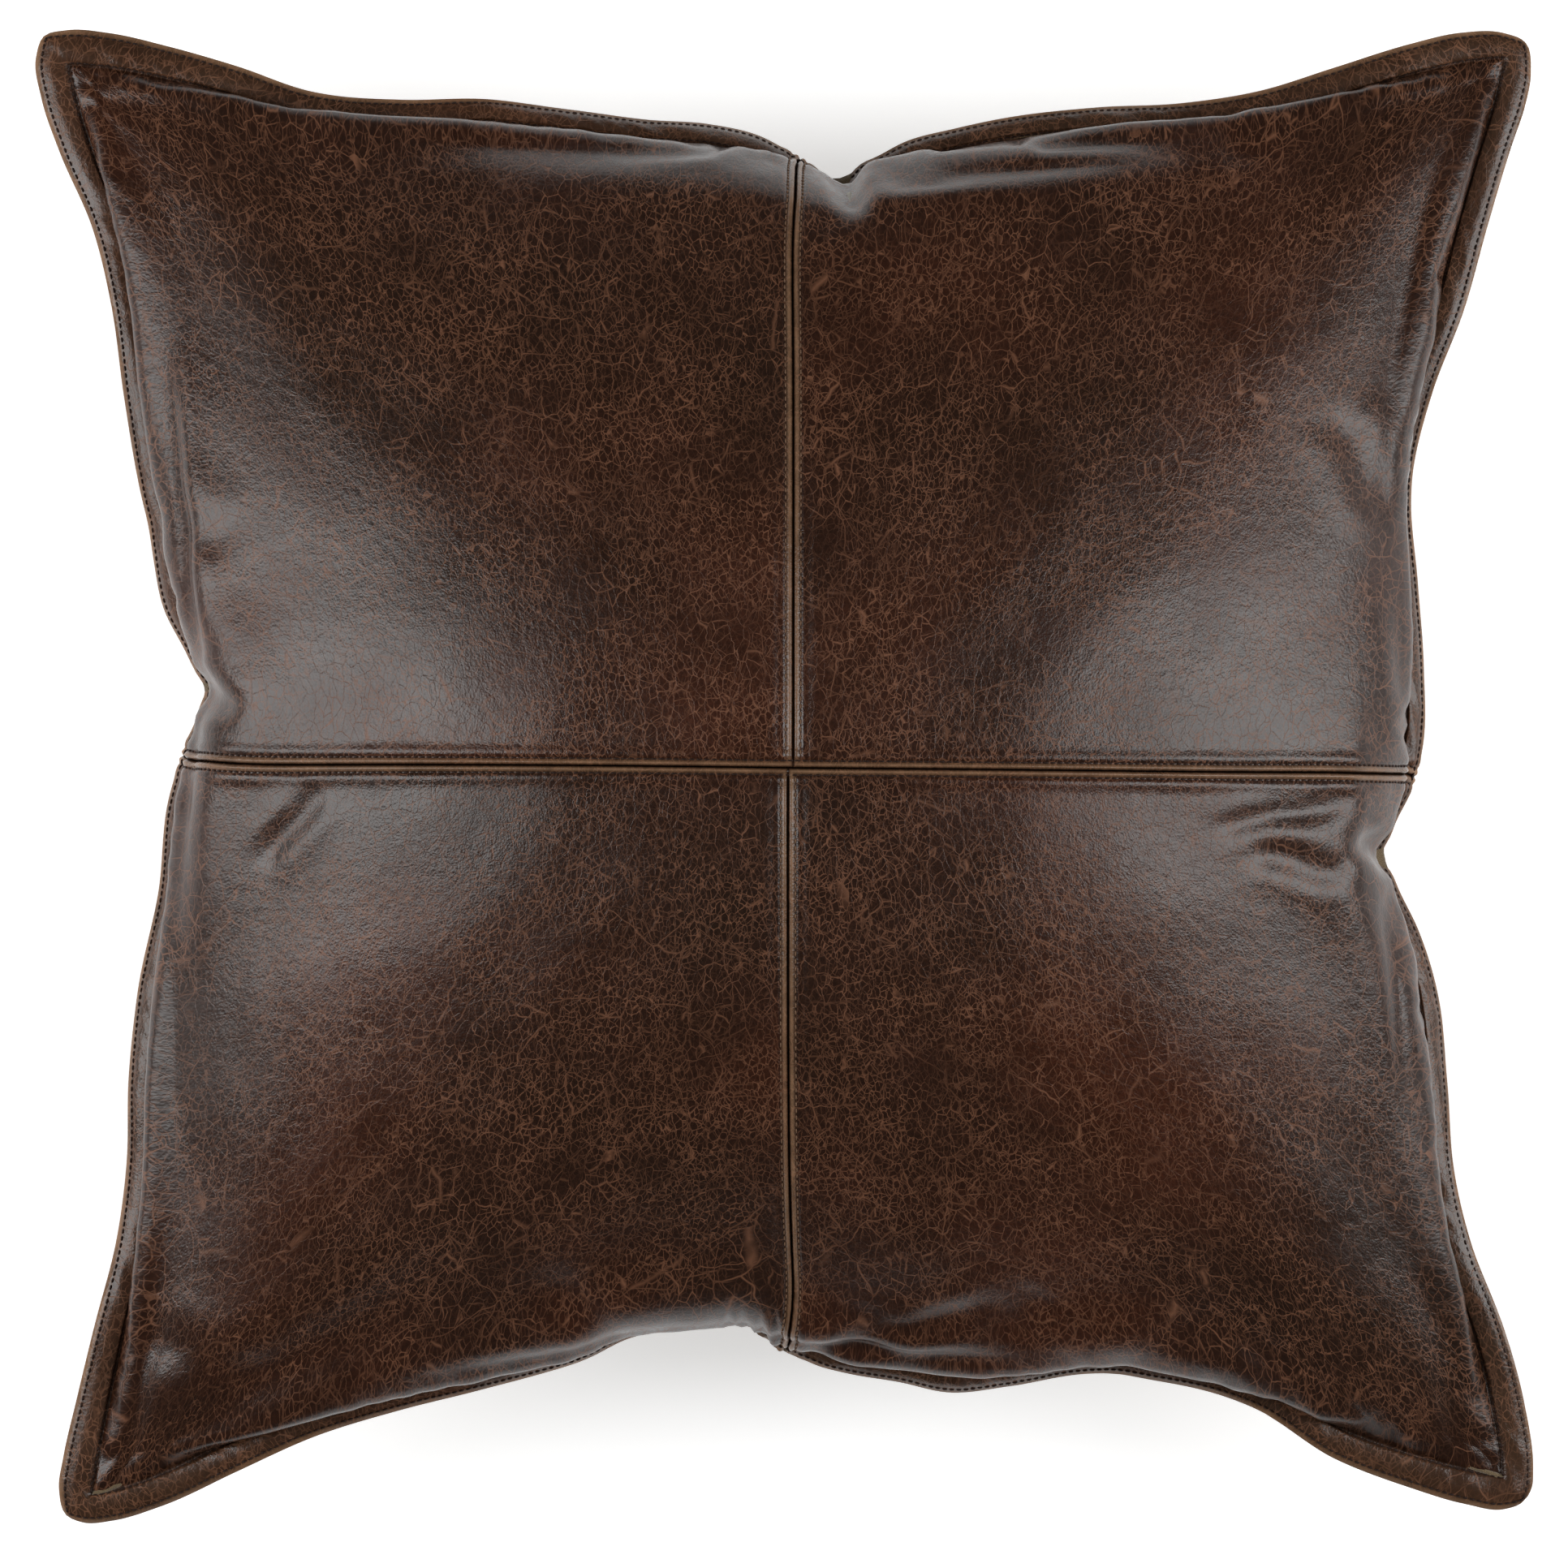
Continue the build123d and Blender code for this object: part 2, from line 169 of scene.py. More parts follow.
# Coons patch: what the two pairs of opposite sides say, less what the corners say
def patch(low, high, left, right, u, v):
    def at(line, t):
        even = np.linspace(0, 1, len(line))
        return np.stack([np.interp(t, even, line[:, k]) for k in range(3)], -1)
    u1, v1 = u[..., None], v[..., None]
    corner = ((1 - u1) * (1 - v1) * low[0] + u1 * (1 - v1) * low[-1] + (1 - u1) * v1 * high[0]
                  + u1 * v1 * high[-1])
    return (1 - v1) * at(low, u) + v1 * at(high, u) + (1 - u1) * at(left, v) + u1 * at(right, v) - corner


# cloth
cloth = {"cells": 112, "backCells": 80, "pressure": 40.0, "frames": 24, "drawnIn": 16, "cap": 7.0,
         "slide": 0.12, "mass": 0.001, "stretch": 120.0, "bend": 0.6}


# the stitch lines without their notches and waves: a bow between the same ends, drawn in as far on average
def plainLines(lines):
    plain = {}
    for name, line in lines.items():
        t = np.linspace(-1, 1, len(line))
        chord = line[0] + (line[-1] - line[0]) * (t[:, None] + 1) / 2
        depth = (line - chord)[200:600].mean(0) / np.mean(1 - np.abs(t[200:600]) ** 2.2)
        plain[name] = chord + depth * (1 - np.abs(t) ** 2.2)[:, None]
    return plain


# sheet before the cloth settles: the patch between the plain bows of the four stitch lines, with each
# line's notches and waves dying away from it, raised as (1 - u^2)(1 - v^2) to a power, its sides swollen
# outwards a little way in from the line
def domed(cells, rise, lines, shift):
    t = np.linspace(0, 1, cells + 1)
    u, v = np.meshgrid(t, t, indexing="ij")
    plain = plainLines(lines)
    p = patch(plain["bottom"], plain["top"], plain["left"], plain["right"], u, v)
    for name, at, away in (("bottom", u, v), ("top", u, 1 - v), ("left", v, u), ("right", v, 1 - u)):
        even = np.linspace(0, 1, len(lines[name]))
        stray = lines[name] - plain[name]
        stray = np.stack([np.interp(at, even, stray[:, k]) for k in range(3)], -1)
        p += stray * np.exp(-2 * cover["sewn"] * away / cover["notchReach"])[..., None]
    a, b = 2 * u - 1, 2 * v - 1
    body = (1 - a * a) * (1 - b * b)
    p[..., 2] += rise * body ** 0.55
    swell = lambda d: (d / cover["bellyAt"]) * np.exp(1 - d / cover["bellyAt"])
    inFrom = lambda s: cover["sewn"] * (1 - s)
    p[..., 0] += cover["belly"] * (swell(inFrom(a)) - swell(inFrom(-a))) * (1 - b ** 4)
    p[..., 1] += cover["belly"] * (swell(inFrom(b)) - swell(inFrom(-b))) * (1 - a ** 4)
    centre = p[cells // 2, cells // 2, :2]
    p[..., :2] += (np.array(shift) - centre) * (body ** 0.8)[..., None]
    return p


# the sheet under pressure while its sewn edge is drawn in to the real stitch line; no point leaves
# the shape it was cut to by more than the cap
def settle(name, start, final, cells):
    n = cells + 1
    index = np.arange(n * n).reshape(n, n)
    quads = np.stack([index[:-1, :-1], index[1:, :-1], index[1:, 1:], index[:-1, 1:]], -1).reshape(-1, 4)
    mesh = bpy.data.meshes.new(name)
    mesh.from_pydata((start.reshape(-1, 3) / 1000).tolist(), [], quads.tolist())
    sheet = bpy.data.objects.new(name, mesh)
    scene.collection.objects.link(sheet)
    sheet.shape_key_add(name="cut")
    drawn = sheet.shape_key_add(name="drawnIn")
    drawn.data.foreach_set("co", (final / 1000).astype(np.float32).ravel())
    rim = np.r_[index[0], index[-1], index[1:-1, 0], index[1:-1, -1]]
    sheet.vertex_groups.new(name="sewn").add([int(i) for i in rim], 1.0, "REPLACE")
    for value, when in ((0, 1), (1, cloth["drawnIn"])):
        drawn.value = value
        drawn.keyframe_insert("value", frame=when)
    modifier = sheet.modifiers.new("settle", "CLOTH")
    s = modifier.settings
    s.quality, s.mass = 7, cloth["mass"]
    s.tension_stiffness = s.compression_stiffness = cloth["stretch"]
    s.shear_stiffness, s.bending_stiffness = cloth["stretch"] / 3, cloth["bend"]
    s.vertex_group_mass = "sewn"
    s.use_pressure, s.uniform_pressure_force = True, cloth["pressure"]
    s.effector_weights.gravity = 0
    modifier.collision_settings.use_collision = False
    modifier.point_cache.frame_start, modifier.point_cache.frame_end = 1, cloth["frames"]
    for when in range(1, cloth["frames"] + 1):
        scene.frame_set(when)
    settled = sheet.evaluated_get(bpy.context.evaluated_depsgraph_get())
    co = np.empty(n * n * 3, np.float32)
    settled.data.vertices.foreach_get("co", co)
    bpy.data.objects.remove(sheet)
    scene.frame_set(1)
    moved = co.reshape(n, n, 3).astype(float) * 1000 - final
    square = np.cross(np.gradient(final, axis=0), np.gradient(final, axis=1))
    square /= np.maximum(np.linalg.norm(square, axis=-1, keepdims=True), 1e-9)
    lift = (moved * square).sum(-1, keepdims=True)
    # mostly in and out, so the seams stay straight
    moved = lift * square + cloth["slide"] * (moved - lift * square)
    far = np.linalg.norm(moved, axis=-1, keepdims=True)
    moved *= cloth["cap"] * np.tanh(far / cloth["cap"]) / np.maximum(far, 1e-6)
    print(f"settled {name}: moved up to {far.max():.1f} mm")
    return final + moved


# zip wall: an arc set back under the bottom flange, its middle nearest the pillow's
zipAxis = [1000 * x for joint in frame["joints"] if joint["name"] == "zip_travel" for x in joint["pos_m"]]
zipLine = {"middleY": -188.0, "wallTop": 85.0, "wallFoot": 65.0,
           "opening": 188.8, "wallEnd": 193.0, "wallTip": 221.0, "chain": 377.69}
zipLine.update(axisY=zipAxis[1], middleZ=zipAxis[2], radius=zipLine["middleY"] - zipAxis[1])


# point beside the chain: along it from its middle, up the wall, and out of the pillow, on the wall's arc
def zipPoint(along, up, out):
    along, up, out = np.broadcast_arrays(*(np.asarray(x, float) for x in (along, up, out)))
    angle = along / zipLine["radius"]
    reach = zipLine["radius"] - out
    return np.stack([reach * np.sin(angle),
                zipLine["axisY"] + reach * np.cos(angle), zipLine["middleZ"] + up], -1)


# line of the wall at a height: the zip's arc between its ends, then easing out to the stitch line's tips
def wallLine(z):
    stitch = side["bottom"][2]
    t = np.linspace(-1, 1, len(stitch))
    along = t * zipLine["wallTip"]
    arc = zipPoint(along, z - zipLine["middleZ"], 0)
    easeFrom = zipLine["wallEnd"] + 1
    ease = smoothStep((np.abs(along) - easeFrom) / (zipLine["wallTip"] - easeFrom))[:, None]
    return arc * (1 - ease) + stitch * ease


stitchLines = {name: line[2] for name, line in side.items()}
backLines = dict(stitchLines, bottom=wallLine(zipLine["wallFoot"]))
cells, backCells = cloth["cells"], cloth["backCells"]
frontSheet = settle("front", domed(cells, cover["crown"], plainLines(stitchLines), cover["middle"]),
                    domed(cells, cover["crown"], stitchLines, cover["middle"]), cells)
backPlain = dict(plainLines(stitchLines), bottom=backLines["bottom"])
down = np.array([1, 1, -1.0])


def mirrored(lines):
    return {name: line * down for name, line in lines.items()}


backSheet = settle("back", domed(backCells, cover["depth"], mirrored(backPlain), cover["middle"]),
                   domed(backCells, cover["depth"], mirrored(backLines), cover["middle"]), backCells) * down
restOn = 5.0       # mm over which the back flattens where it rests
backZ = backSheet[..., 2].copy()
fadeUnder = 25.0   # mm under the floor at which the softening is done
backSheet[..., 2] = (restOn * np.logaddexp(0, backZ / restOn)
                     * np.tanh(np.maximum(backZ + fadeUnder, 0) / fadeUnder))
print("cloth settled")


# surfaces at any place of the cut square
# smooth reading of a settled sheet between its points, with cubic weights both ways
def fromSheet(sheet, a, b):
    n = sheet.shape[0] - 1

    def taps(x):
        t = np.clip((x / cover["sewn"] + 1) / 2, 0, 1) * n
        i = np.clip(np.floor(t).astype(int), 0, n - 1)
        f = t - i
        w = np.stack([-0.5 * f + f * f - 0.5 * f ** 3, 1 - 2.5 * f * f + 1.5 * f ** 3,
                      0.5 * f + 2 * f * f - 1.5 * f ** 3, -0.5 * f * f + 0.5 * f ** 3], -1)
        return i, w
    ia, wa = taps(a)
    ib, wb = taps(b)
    padded = np.pad(sheet, ((1, 1), (1, 1), (0, 0)), "edge")
    padded[0], padded[-1] = 2 * padded[1] - padded[2], 2 * padded[-2] - padded[-3]
    padded[:, 0], padded[:, -1] = 2 * padded[:, 1] - padded[:, 2], 2 * padded[:, -2] - padded[:, -3]
    p = 0
    for j in range(4):
        for k in range(4):
            p = p + padded[ia + j, ib + k] * (wa[..., j] * wb[..., k])[..., None]
    return p


# inside the stitch line the settled sheet, outside it the flange: a straight run from stitch line to edge,
# and a patch at each tip between the two sides' edges
def coverPoint(sheet, a, b):
    sewn, half = cover["sewn"], cover["half"]
    wide = half - sewn
    qa, qb = (np.clip((np.abs(x) - sewn) / wide, 0, 1) for x in (a, b))
    p = fromSheet(sheet, np.clip(a, -sewn, sewn), np.clip(b, -sewn, sewn))
    shareA, shareB = (a + half) / (2 * half), (b + half) / (2 * half)
    stitchA, stitchB = (np.clip((x + sewn) / (2 * sewn), 0, 1) for x in (a, b))
    for vertical, horizontal in (("left", "bottom"), ("right", "bottom"), ("left", "top"), ("right", "top")):
        signA, signB = (1 if vertical == "right" else -1), (1 if horizontal == "top" else -1)
        here = (a * signA >= 0) & (b * signB >= 0) & ((qa > 0) | (qb > 0))
        if not here.any():
            continue
        u, v = qa[here][:, None], qb[here][:, None]
        atEnd = (signA * sewn + half) / (2 * half), (signB * sewn + half) / (2 * half)
        stitchH = linePoint(horizontal, 2, np.where(u[:, 0] > 0, (signA + 1) / 2, stitchA[here]))
        stitchV = linePoint(vertical, 2, np.where(v[:, 0] > 0, (signB + 1) / 2, stitchB[here]))
        edgeH, edgeV = linePoint(horizontal, 1, shareA[here]), linePoint(vertical, 1, shareB[here])
        endH = linePoint(horizontal, 1, np.full(len(u), atEnd[0]))
        endV = linePoint(vertical, 1, np.full(len(u), atEnd[1]))
        tipPoint = linePoint(horizontal, 1, np.full(len(u), (signA + 1) / 2.0))
        corner = linePoint(horizontal, 2, np.full(len(u), (signA + 1) / 2.0))
        sideRun = stitchH + v * (edgeH - stitchH)
        endRun = stitchV + u * (edgeV - stitchV)
        lowEdge, inEdge = corner + u * (endV - corner), corner + v * (endH - corner)
        tipPatch = ((1 - v) * lowEdge + v * edgeH + (1 - u) * inEdge + u * edgeV
                    - ((1 - u) * (1 - v) * corner + u * (1 - v) * endV + (1 - u) * v * endH
                       + u * v * tipPoint))
        p[here] = np.where((u > 0) & (v > 0), tipPatch, np.where(v > 0, sideRun, endRun))
    return p


# unit normal from the run of the surface a little each way
def normalOf(surface, a, b, step=1.5):
    da = surface(a + step, b) - surface(a - step, b)
    db = surface(a, b + step) - surface(a, b - step)
    n = np.cross(da, db)
    return n / np.maximum(np.linalg.norm(n, axis=-1, keepdims=True), 1e-9)


# seams, folds and puckers of the leather
relief = {
    "groove": 0.9, "grooveWide": 0.55, "ridge": 0.75, "ridgeAt": 1.35, "ridgeWide": 0.9,
    "rowDip": 0.42, "rowAt": 3.1, "rowWide": 0.5, "swell": 0.55, "swellAt": 5.4, "swellWide": 2.4,
    "pucker": 0.45, "puckerReach": 17.0, "slack": 0.30, "puff": 1.5, "puffWrinkle": 0.22,
}
# fold: from x, y to x, y in mm, half width, depth
folds = [
    (20, 221, 25, 201, 5.5, 3.2), (-211, 34, -197, 24, 5.0, 2.6), (-164, -8, -181, -27, 4.5, 1.1),
    (155, -17, 194, -10.5, 4.0, 0.9), (167, -27, 194, -34, 5.0, 1.2), (206, -23, 220, -31, 5.5, 3.2),
    (8, -209, 64, -190, 4.5, 1.5), (169, -204, 185, -230, 6.0, 1.6), (157, 236, 167, 222, 7.0, 1.1),
    (198, 124, 212, 98, 7.0, 1.2), (-214, -238, -130, -178, 11.0, 1.8), (-226, -205, -190, -215, 8.0, 1.0),
    (27, -202, 29, -190, 9.0, 1.3), (82, -197, 88, -183, 10.0, 1.2), (-228, 96, -200, 84, 8.0, 1.0),
    (-60, -201, -84, -180, 8.0, 1.1), (120, -215, 150, -196, 8.0, 1.0), (-190, 247, -170, 226, 9.0, 1.0),
]
notchWrinkles = {"x": (-25, 3), "count": 5, "y": (-210, -184), "deep": 0.9}


# pressed-open seam: a fine groove, a ridge hugging each side, a dip under each stitch row,
# a soft swell beyond
def seamProfile(d):
    r, x = relief, np.abs(d)
    return (-r["groove"] * bump(x, r["grooveWide"]) + r["ridge"] * bump(x - r["ridgeAt"], r["ridgeWide"])
            - r["rowDip"] * bump(x - r["rowAt"], r["rowWide"])
            + r["swell"] * bump(x - r["swellAt"], r["swellWide"]))


# distance to the nearest cross seam
def seamGap(a, b):
    upright = np.where(b > cover["acrossSeam"], a - cover["upperSeam"], a - cover["lowerSeam"])
    return np.minimum(np.abs(b - cover["acrossSeam"]), np.abs(upright))


# height added square to the leather: the seams, the listed folds, puckers along the stitch line
# and a slow slackness
def leatherRelief(a, b, x, y):
    r = relief
    across = b - cover["acrossSeam"]
    upright = np.where(across > 0, a - cover["upperSeam"], a - cover["lowerSeam"])
    overUpright = smoothStep((np.abs(across) - 2.0) / 3.0)      # the long seam crosses over the short ones
    h = seamProfile(across) + seamProfile(upright) * overUpright
    for x0, y0, x1, y1, wide, deep in folds:
        run = np.hypot(x1 - x0, y1 - y0)
        t = ((x - x0) * (x1 - x0) + (y - y0) * (y1 - y0)) / run ** 2
        d = ((x - x0) * (y1 - y0) - (y - y0) * (x1 - x0)) / run
        d = d + 0.12 * wide * np.sin(6 * t)
        fade = smoothStep((t + 0.35) / 0.5) * smoothStep((1.35 - t) / 0.5)
        h = h - deep * fade * (bump(d, wide) - 0.45 * bump(np.abs(d) - 1.7 * wide, wide))
    w = notchWrinkles
    inside = smoothStep((x - w["x"][0]) / 5) * smoothStep((w["x"][1] - x) / 5)
    inside = inside * smoothStep((w["y"][1] - y) / 9)
    h = h + w["deep"] * inside * np.sin(
                              2 * np.pi * (x + 0.25 * (y + 200)) / ((w["x"][1] - w["x"][0]) / w["count"]))
    fromLine = cover["sewn"] - np.maximum(np.abs(a), np.abs(b))
    roundLine = np.where(np.abs(a) > np.abs(b), b + 1.7 * a, a + 1.3 * b)
    gather = (np.sin(roundLine / 2.1 + 2.2 * np.sin(roundLine / 13.0))
              + 0.7 * np.sin(roundLine / 3.7 + 1.5 * np.sin(roundLine / 29.0)))
    near = np.exp(-np.maximum(fromLine, 0) / r["puckerReach"] * 2.2) * smoothStep(fromLine / 3.5)
    h = h + r["pucker"] * gather * near * (0.6 + 0.4 * np.sin(roundLine / 41.0))
    h = h + r["slack"] * (np.sin(a / 17 + 1.3 * np.sin(b / 23)) * np.sin(b / 19 + 1.7 * np.sin(a / 31)))
    out = -fromLine / (cover["half"] - cover["sewn"])
    puff = np.clip(4 * out * (0.86 - out) / 0.74, 0, None) ** 0.6 * (out > 0)
    wrinkle = (np.sin(roundLine / 1.9 + 2.6 * np.sin(roundLine / 9.0) + 1.5 * out)
               * (0.5 + 0.5 * np.sin(roundLine / 15.0 + 1.0)))
    h = h + r["puff"] * puff * (1 + r["puffWrinkle"] * wrinkle)
    h = h - 0.55 * bump(fromLine - 0.2, 0.7) - 0.3 * bump(fromLine + 9.8, 0.5)
    return h


def frontPoint(a, b):
    return coverPoint(frontSheet, a, b)


# place and normal of the finished leather
def leatherPoint(a, b):
    base = frontPoint(a, b)
    n = normalOf(frontPoint, a, b)
    height = leatherRelief(a, b, base[..., 0], base[..., 1]) + cover["leather"]
    return base + n * height[..., None], n


# mesh makers
def meshPiece(name, points, faces, material, body="cover", mm=True):
    mesh = bpy.data.meshes.new(name)
    scale = 0.001 if mm else 1.0
    mesh.from_pydata((np.asarray(points).reshape(-1, 3) * scale).tolist(), [], [list(f) for f in faces])
    piece = bpy.data.objects.new(name, mesh)
    scene.collection.objects.link(piece)
    mesh.materials.append(material)
    mesh.shade_smooth()
    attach(piece, body)
    return piece


# quads of a grid, with those outside the mask left out
def gridFaces(n, m, keep=None, flip=False):
    index = np.arange(n * m).reshape(n, m)
    quads = np.stack([index[:-1, :-1], index[1:, :-1], index[1:, 1:], index[:-1, 1:]], -1)
    if flip:
        quads = quads[..., ::-1]
    return quads[keep] if keep is not None else quads.reshape(-1, 4)


def addNumbers(mesh, name, values):
    added = mesh.attributes.new(name, "FLOAT", "POINT")
    added.data.foreach_set("value", np.asarray(values, np.float32).ravel())


# the cut pattern's own coordinates, in metres, at every face corner
def addUV(mesh, u, v):
    layer = mesh.uv_layers.new(name="cut")
    corner = np.empty(len(mesh.loops), np.int32)
    mesh.loops.foreach_get("vertex_index", corner)
    uv = np.stack([u.ravel()[corner], v.ravel()[corner]], -1) / 1000
    layer.data.foreach_set("uv", uv.astype(np.float32).ravel())


def thicken(piece, thickness):
    wall = piece.modifiers.new("thickness", "SOLIDIFY")
    wall.thickness, wall.offset = thickness / 1000, -1
    wall.use_even_offset = False
    return piece


# places from start to end, near the dense lines at the fine step and elsewhere at the coarse one
def spaced(start, end, fine, coarse, dense):
    places, x = [start], start
    while x < end - 1e-6:
        near = min((max(abs(x - c) - reach, 0) for c, reach in dense), default=99)
        x = min(end, x + fine + (coarse - fine) * min(near / 8, 1))
        places.append(x)
    if len(places) > 2 and places[-1] - places[-2] < fine * 0.5:
        places.pop(-2)
    return np.array(places)


# materials
def newMaterial(name):
    material = bpy.data.materials.new(name)
    material.use_nodes = True
    tree = material.node_tree
    return material, tree, tree.nodes["Principled BSDF"]


def addNode(tree, kind, **values):
    made = tree.nodes.new("ShaderNode" + kind)
    for key, value in values.items():
        if hasattr(made, key) and key not in made.inputs:
            setattr(made, key, value)
        else:
            made.inputs[key.replace("_", " ")].default_value = value
    return made


# a colour's linear values from its usual six digits
def colour(hexText):
    c = np.array([int(hexText[i:i + 2], 16) for i in (0, 2, 4)]) / 255
    return (*np.where(c < 0.04045, c / 12.92, ((c + 0.055) / 1.055) ** 2.4), 1.0)


def ramp(tree, source, stops):
    made = tree.nodes.new("ShaderNodeValToRGB")
    while len(made.color_ramp.elements) < len(stops):
        made.color_ramp.elements.new(0.5)
    for element, (place, value) in zip(made.color_ramp.elements, stops):
        element.position = place
        element.color = value if isinstance(value, tuple) else (value, value, value, 1)
    tree.links.new(source, made.inputs["Fac"])
    return made.outputs["Color"]


def mix(tree, kind, factor, one, two):
    made = tree.nodes.new("ShaderNodeMix")
    made.data_type, made.blend_type = "RGBA", kind
    for socket, value in ((made.inputs[0], factor), (made.inputs[6], one), (made.inputs[7], two)):
        if isinstance(value, (float, int, tuple)):
            socket.default_value = value
        else:
            tree.links.new(value, socket)
    return made.outputs[2]


def maths(tree, operation, one, two=0.0, clamp=False):
    made = tree.nodes.new("ShaderNodeMath")
    made.operation, made.use_clamp = operation, clamp
    for socket, value in zip(made.inputs, (one, two)):
        if isinstance(value, (float, int)):
            socket.default_value = value
        else:
            tree.links.new(value, socket)
    return made.outputs[0]


# the fibre tone is the tan of worn fibre at the outer rim, and is also laid on the ridges beside each seam as
# a painted highlight
leather = {"dark": "22140c", "mid": "28150c", "warm": "371a0d", "crack": "7c533c", "fibreAndPaintedSheen": "a17c5d",
           "rough": 0.28, "shine": 0.36}
# crackle: cells per metre, line half width in cell widths, turn, strength
crackles = [(62, 0.013, 0.3, 0.75), (118, 0.021, -0.5, 0.85),
            (235, 0.036, 0.9, 0.85), (430, 0.066, -1.2, 0.85)]


def leatherMaterial():
    material, tree, skin = newMaterial("distressedLeather")
    link = tree.links.new
    place = tree.nodes.new("ShaderNodeUVMap")
    place.uv_map = "cut"
    at = place.outputs["UV"]

    def noise(scale, detail=4.0, rough=0.55, vector=at, distort=0.0):
        made = addNode(tree, "TexNoise", Scale=scale, Detail=detail, Roughness=rough, Distortion=distort)
        link(vector, made.inputs["Vector"])
        return made

    def warped(scale, amount, vector=at):
        push = addNode(tree, "VectorMath", operation="MULTIPLY_ADD")
        made = noise(scale, 1.5)
        link(made.outputs["Color"], push.inputs[0])
        push.inputs[1].default_value = (amount, amount, 0)
        link(vector, push.inputs[2])
        return push.outputs[0]

    def cracks(scale, width, turn):
        turned = addNode(tree, "Mapping")
        turned.inputs["Rotation"].default_value = (0, 0, turn * 0.35)
        turned.inputs["Scale"].default_value = (1.0, 0.62, 1.0)
        turned.inputs["Location"].default_value = (turn, scale * 0.01, 0)
        link(warped(scale * 0.4, 1.1 / scale, warped(scale * 1.6, 0.3 / scale)), turned.inputs["Vector"])
        cell = addNode(tree, "TexVoronoi", feature="DISTANCE_TO_EDGE", Scale=scale)
        link(turned.outputs[0], cell.inputs["Vector"])
        return ramp(tree, cell.outputs["Distance"], [(0.0, 1.0), (width, 0.0)])

    bent = warped(75, 0.004)
    patches = noise(7.5, 3.0, 0.5)
    broken = noise(60, 3.0, 0.6)
    allLines = creases = None
    for k, (scale, width, turn, strength) in enumerate(crackles):
        where = ramp(tree, noise(9.0 + 5.0 * k, 4.0, 0.6).outputs["Fac"], [(0.38, 0.12), (0.58, strength)])
        part = ramp(tree, noise(scale * 0.6, 3.0, 0.6).outputs["Fac"], [(0.36, 0.2), (0.52, 1.0)])
        creases = cracks(scale, width, turn) if k != 3 else creases
        shape = creases if k != 3 else cracks(scale, width, turn)
        lines = maths(tree, "MULTIPLY", maths(tree, "MULTIPLY", shape, where), part)
        allLines = lines if allLines is None else maths(tree, "MAXIMUM", allLines, lines, clamp=True)

    tone = ramp(tree, patches.outputs["Fac"],
                    [(0.30, colour(leather["dark"])), (0.50, colour(leather["mid"])),
                                               (0.70, colour(leather["warm"]))])
    speck = ramp(tree, noise(420, 2.0, 0.7).outputs["Fac"], [(0.35, 0.8), (0.65, 1.3)])
    tone = mix(tree, "MULTIPLY", 1.0, tone, speck)
    tone = mix(tree, "MIX", allLines, tone, colour(leather["crack"]))

    # wear: worn fibre at the outer rim, a painted highlight on the ridges beside each seam, and a faint
    # lightening over the flange
    wearAndPaintedSheen = addNode(tree, "Attribute", attribute_name="wearAndPaintedSheen")
    gap = addNode(tree, "Attribute", attribute_name="paintedSeamShade")
    wornAndPaintedSheen = maths(tree, "MULTIPLY", wearAndPaintedSheen.outputs["Fac"],
                     ramp(tree, broken.outputs["Fac"], [(0.3, 0.5), (0.6, 1.0)]))
    tone = mix(tree, "MIX", maths(tree, "MULTIPLY", wornAndPaintedSheen, 0.85), tone, colour(leather["fibreAndPaintedSheen"]))
    # painted shade: the seam grooves and the flange's stitch line turn near black
    tone = mix(tree, "MIX", gap.outputs["Fac"], tone, (0.006, 0.003, 0.002, 1))
    link(tone, skin.inputs["Base Color"])

    roughness = maths(tree, "ADD", maths(tree, "MULTIPLY", allLines, 0.2),
                      ramp(tree, noise(30, 4.0).outputs["Fac"],
                           [(0.3, leather["rough"] - 0.04), (0.7, leather["rough"] + 0.06)]))
    link(roughness, skin.inputs["Roughness"])
    skin.inputs["Specular IOR Level"].default_value = leather["shine"]

    pebble = addNode(tree, "TexVoronoi", Scale=1050.0)
    link(bent, pebble.inputs["Vector"])
    grain = maths(tree, "MULTIPLY", pebble.outputs["Distance"], 0.25)
    height = maths(tree, "ADD", grain, maths(tree, "MULTIPLY", noise(190, 3.0, 0.5).outputs["Fac"], 0.8))
    height = maths(tree, "SUBTRACT", height, maths(tree, "MULTIPLY", creases, 0.12))
    rise = addNode(tree, "Bump", Strength=0.6, Distance=0.00040)
    link(height, rise.inputs["Height"])
    link(rise.outputs["Normal"], skin.inputs["Normal"])
    return material


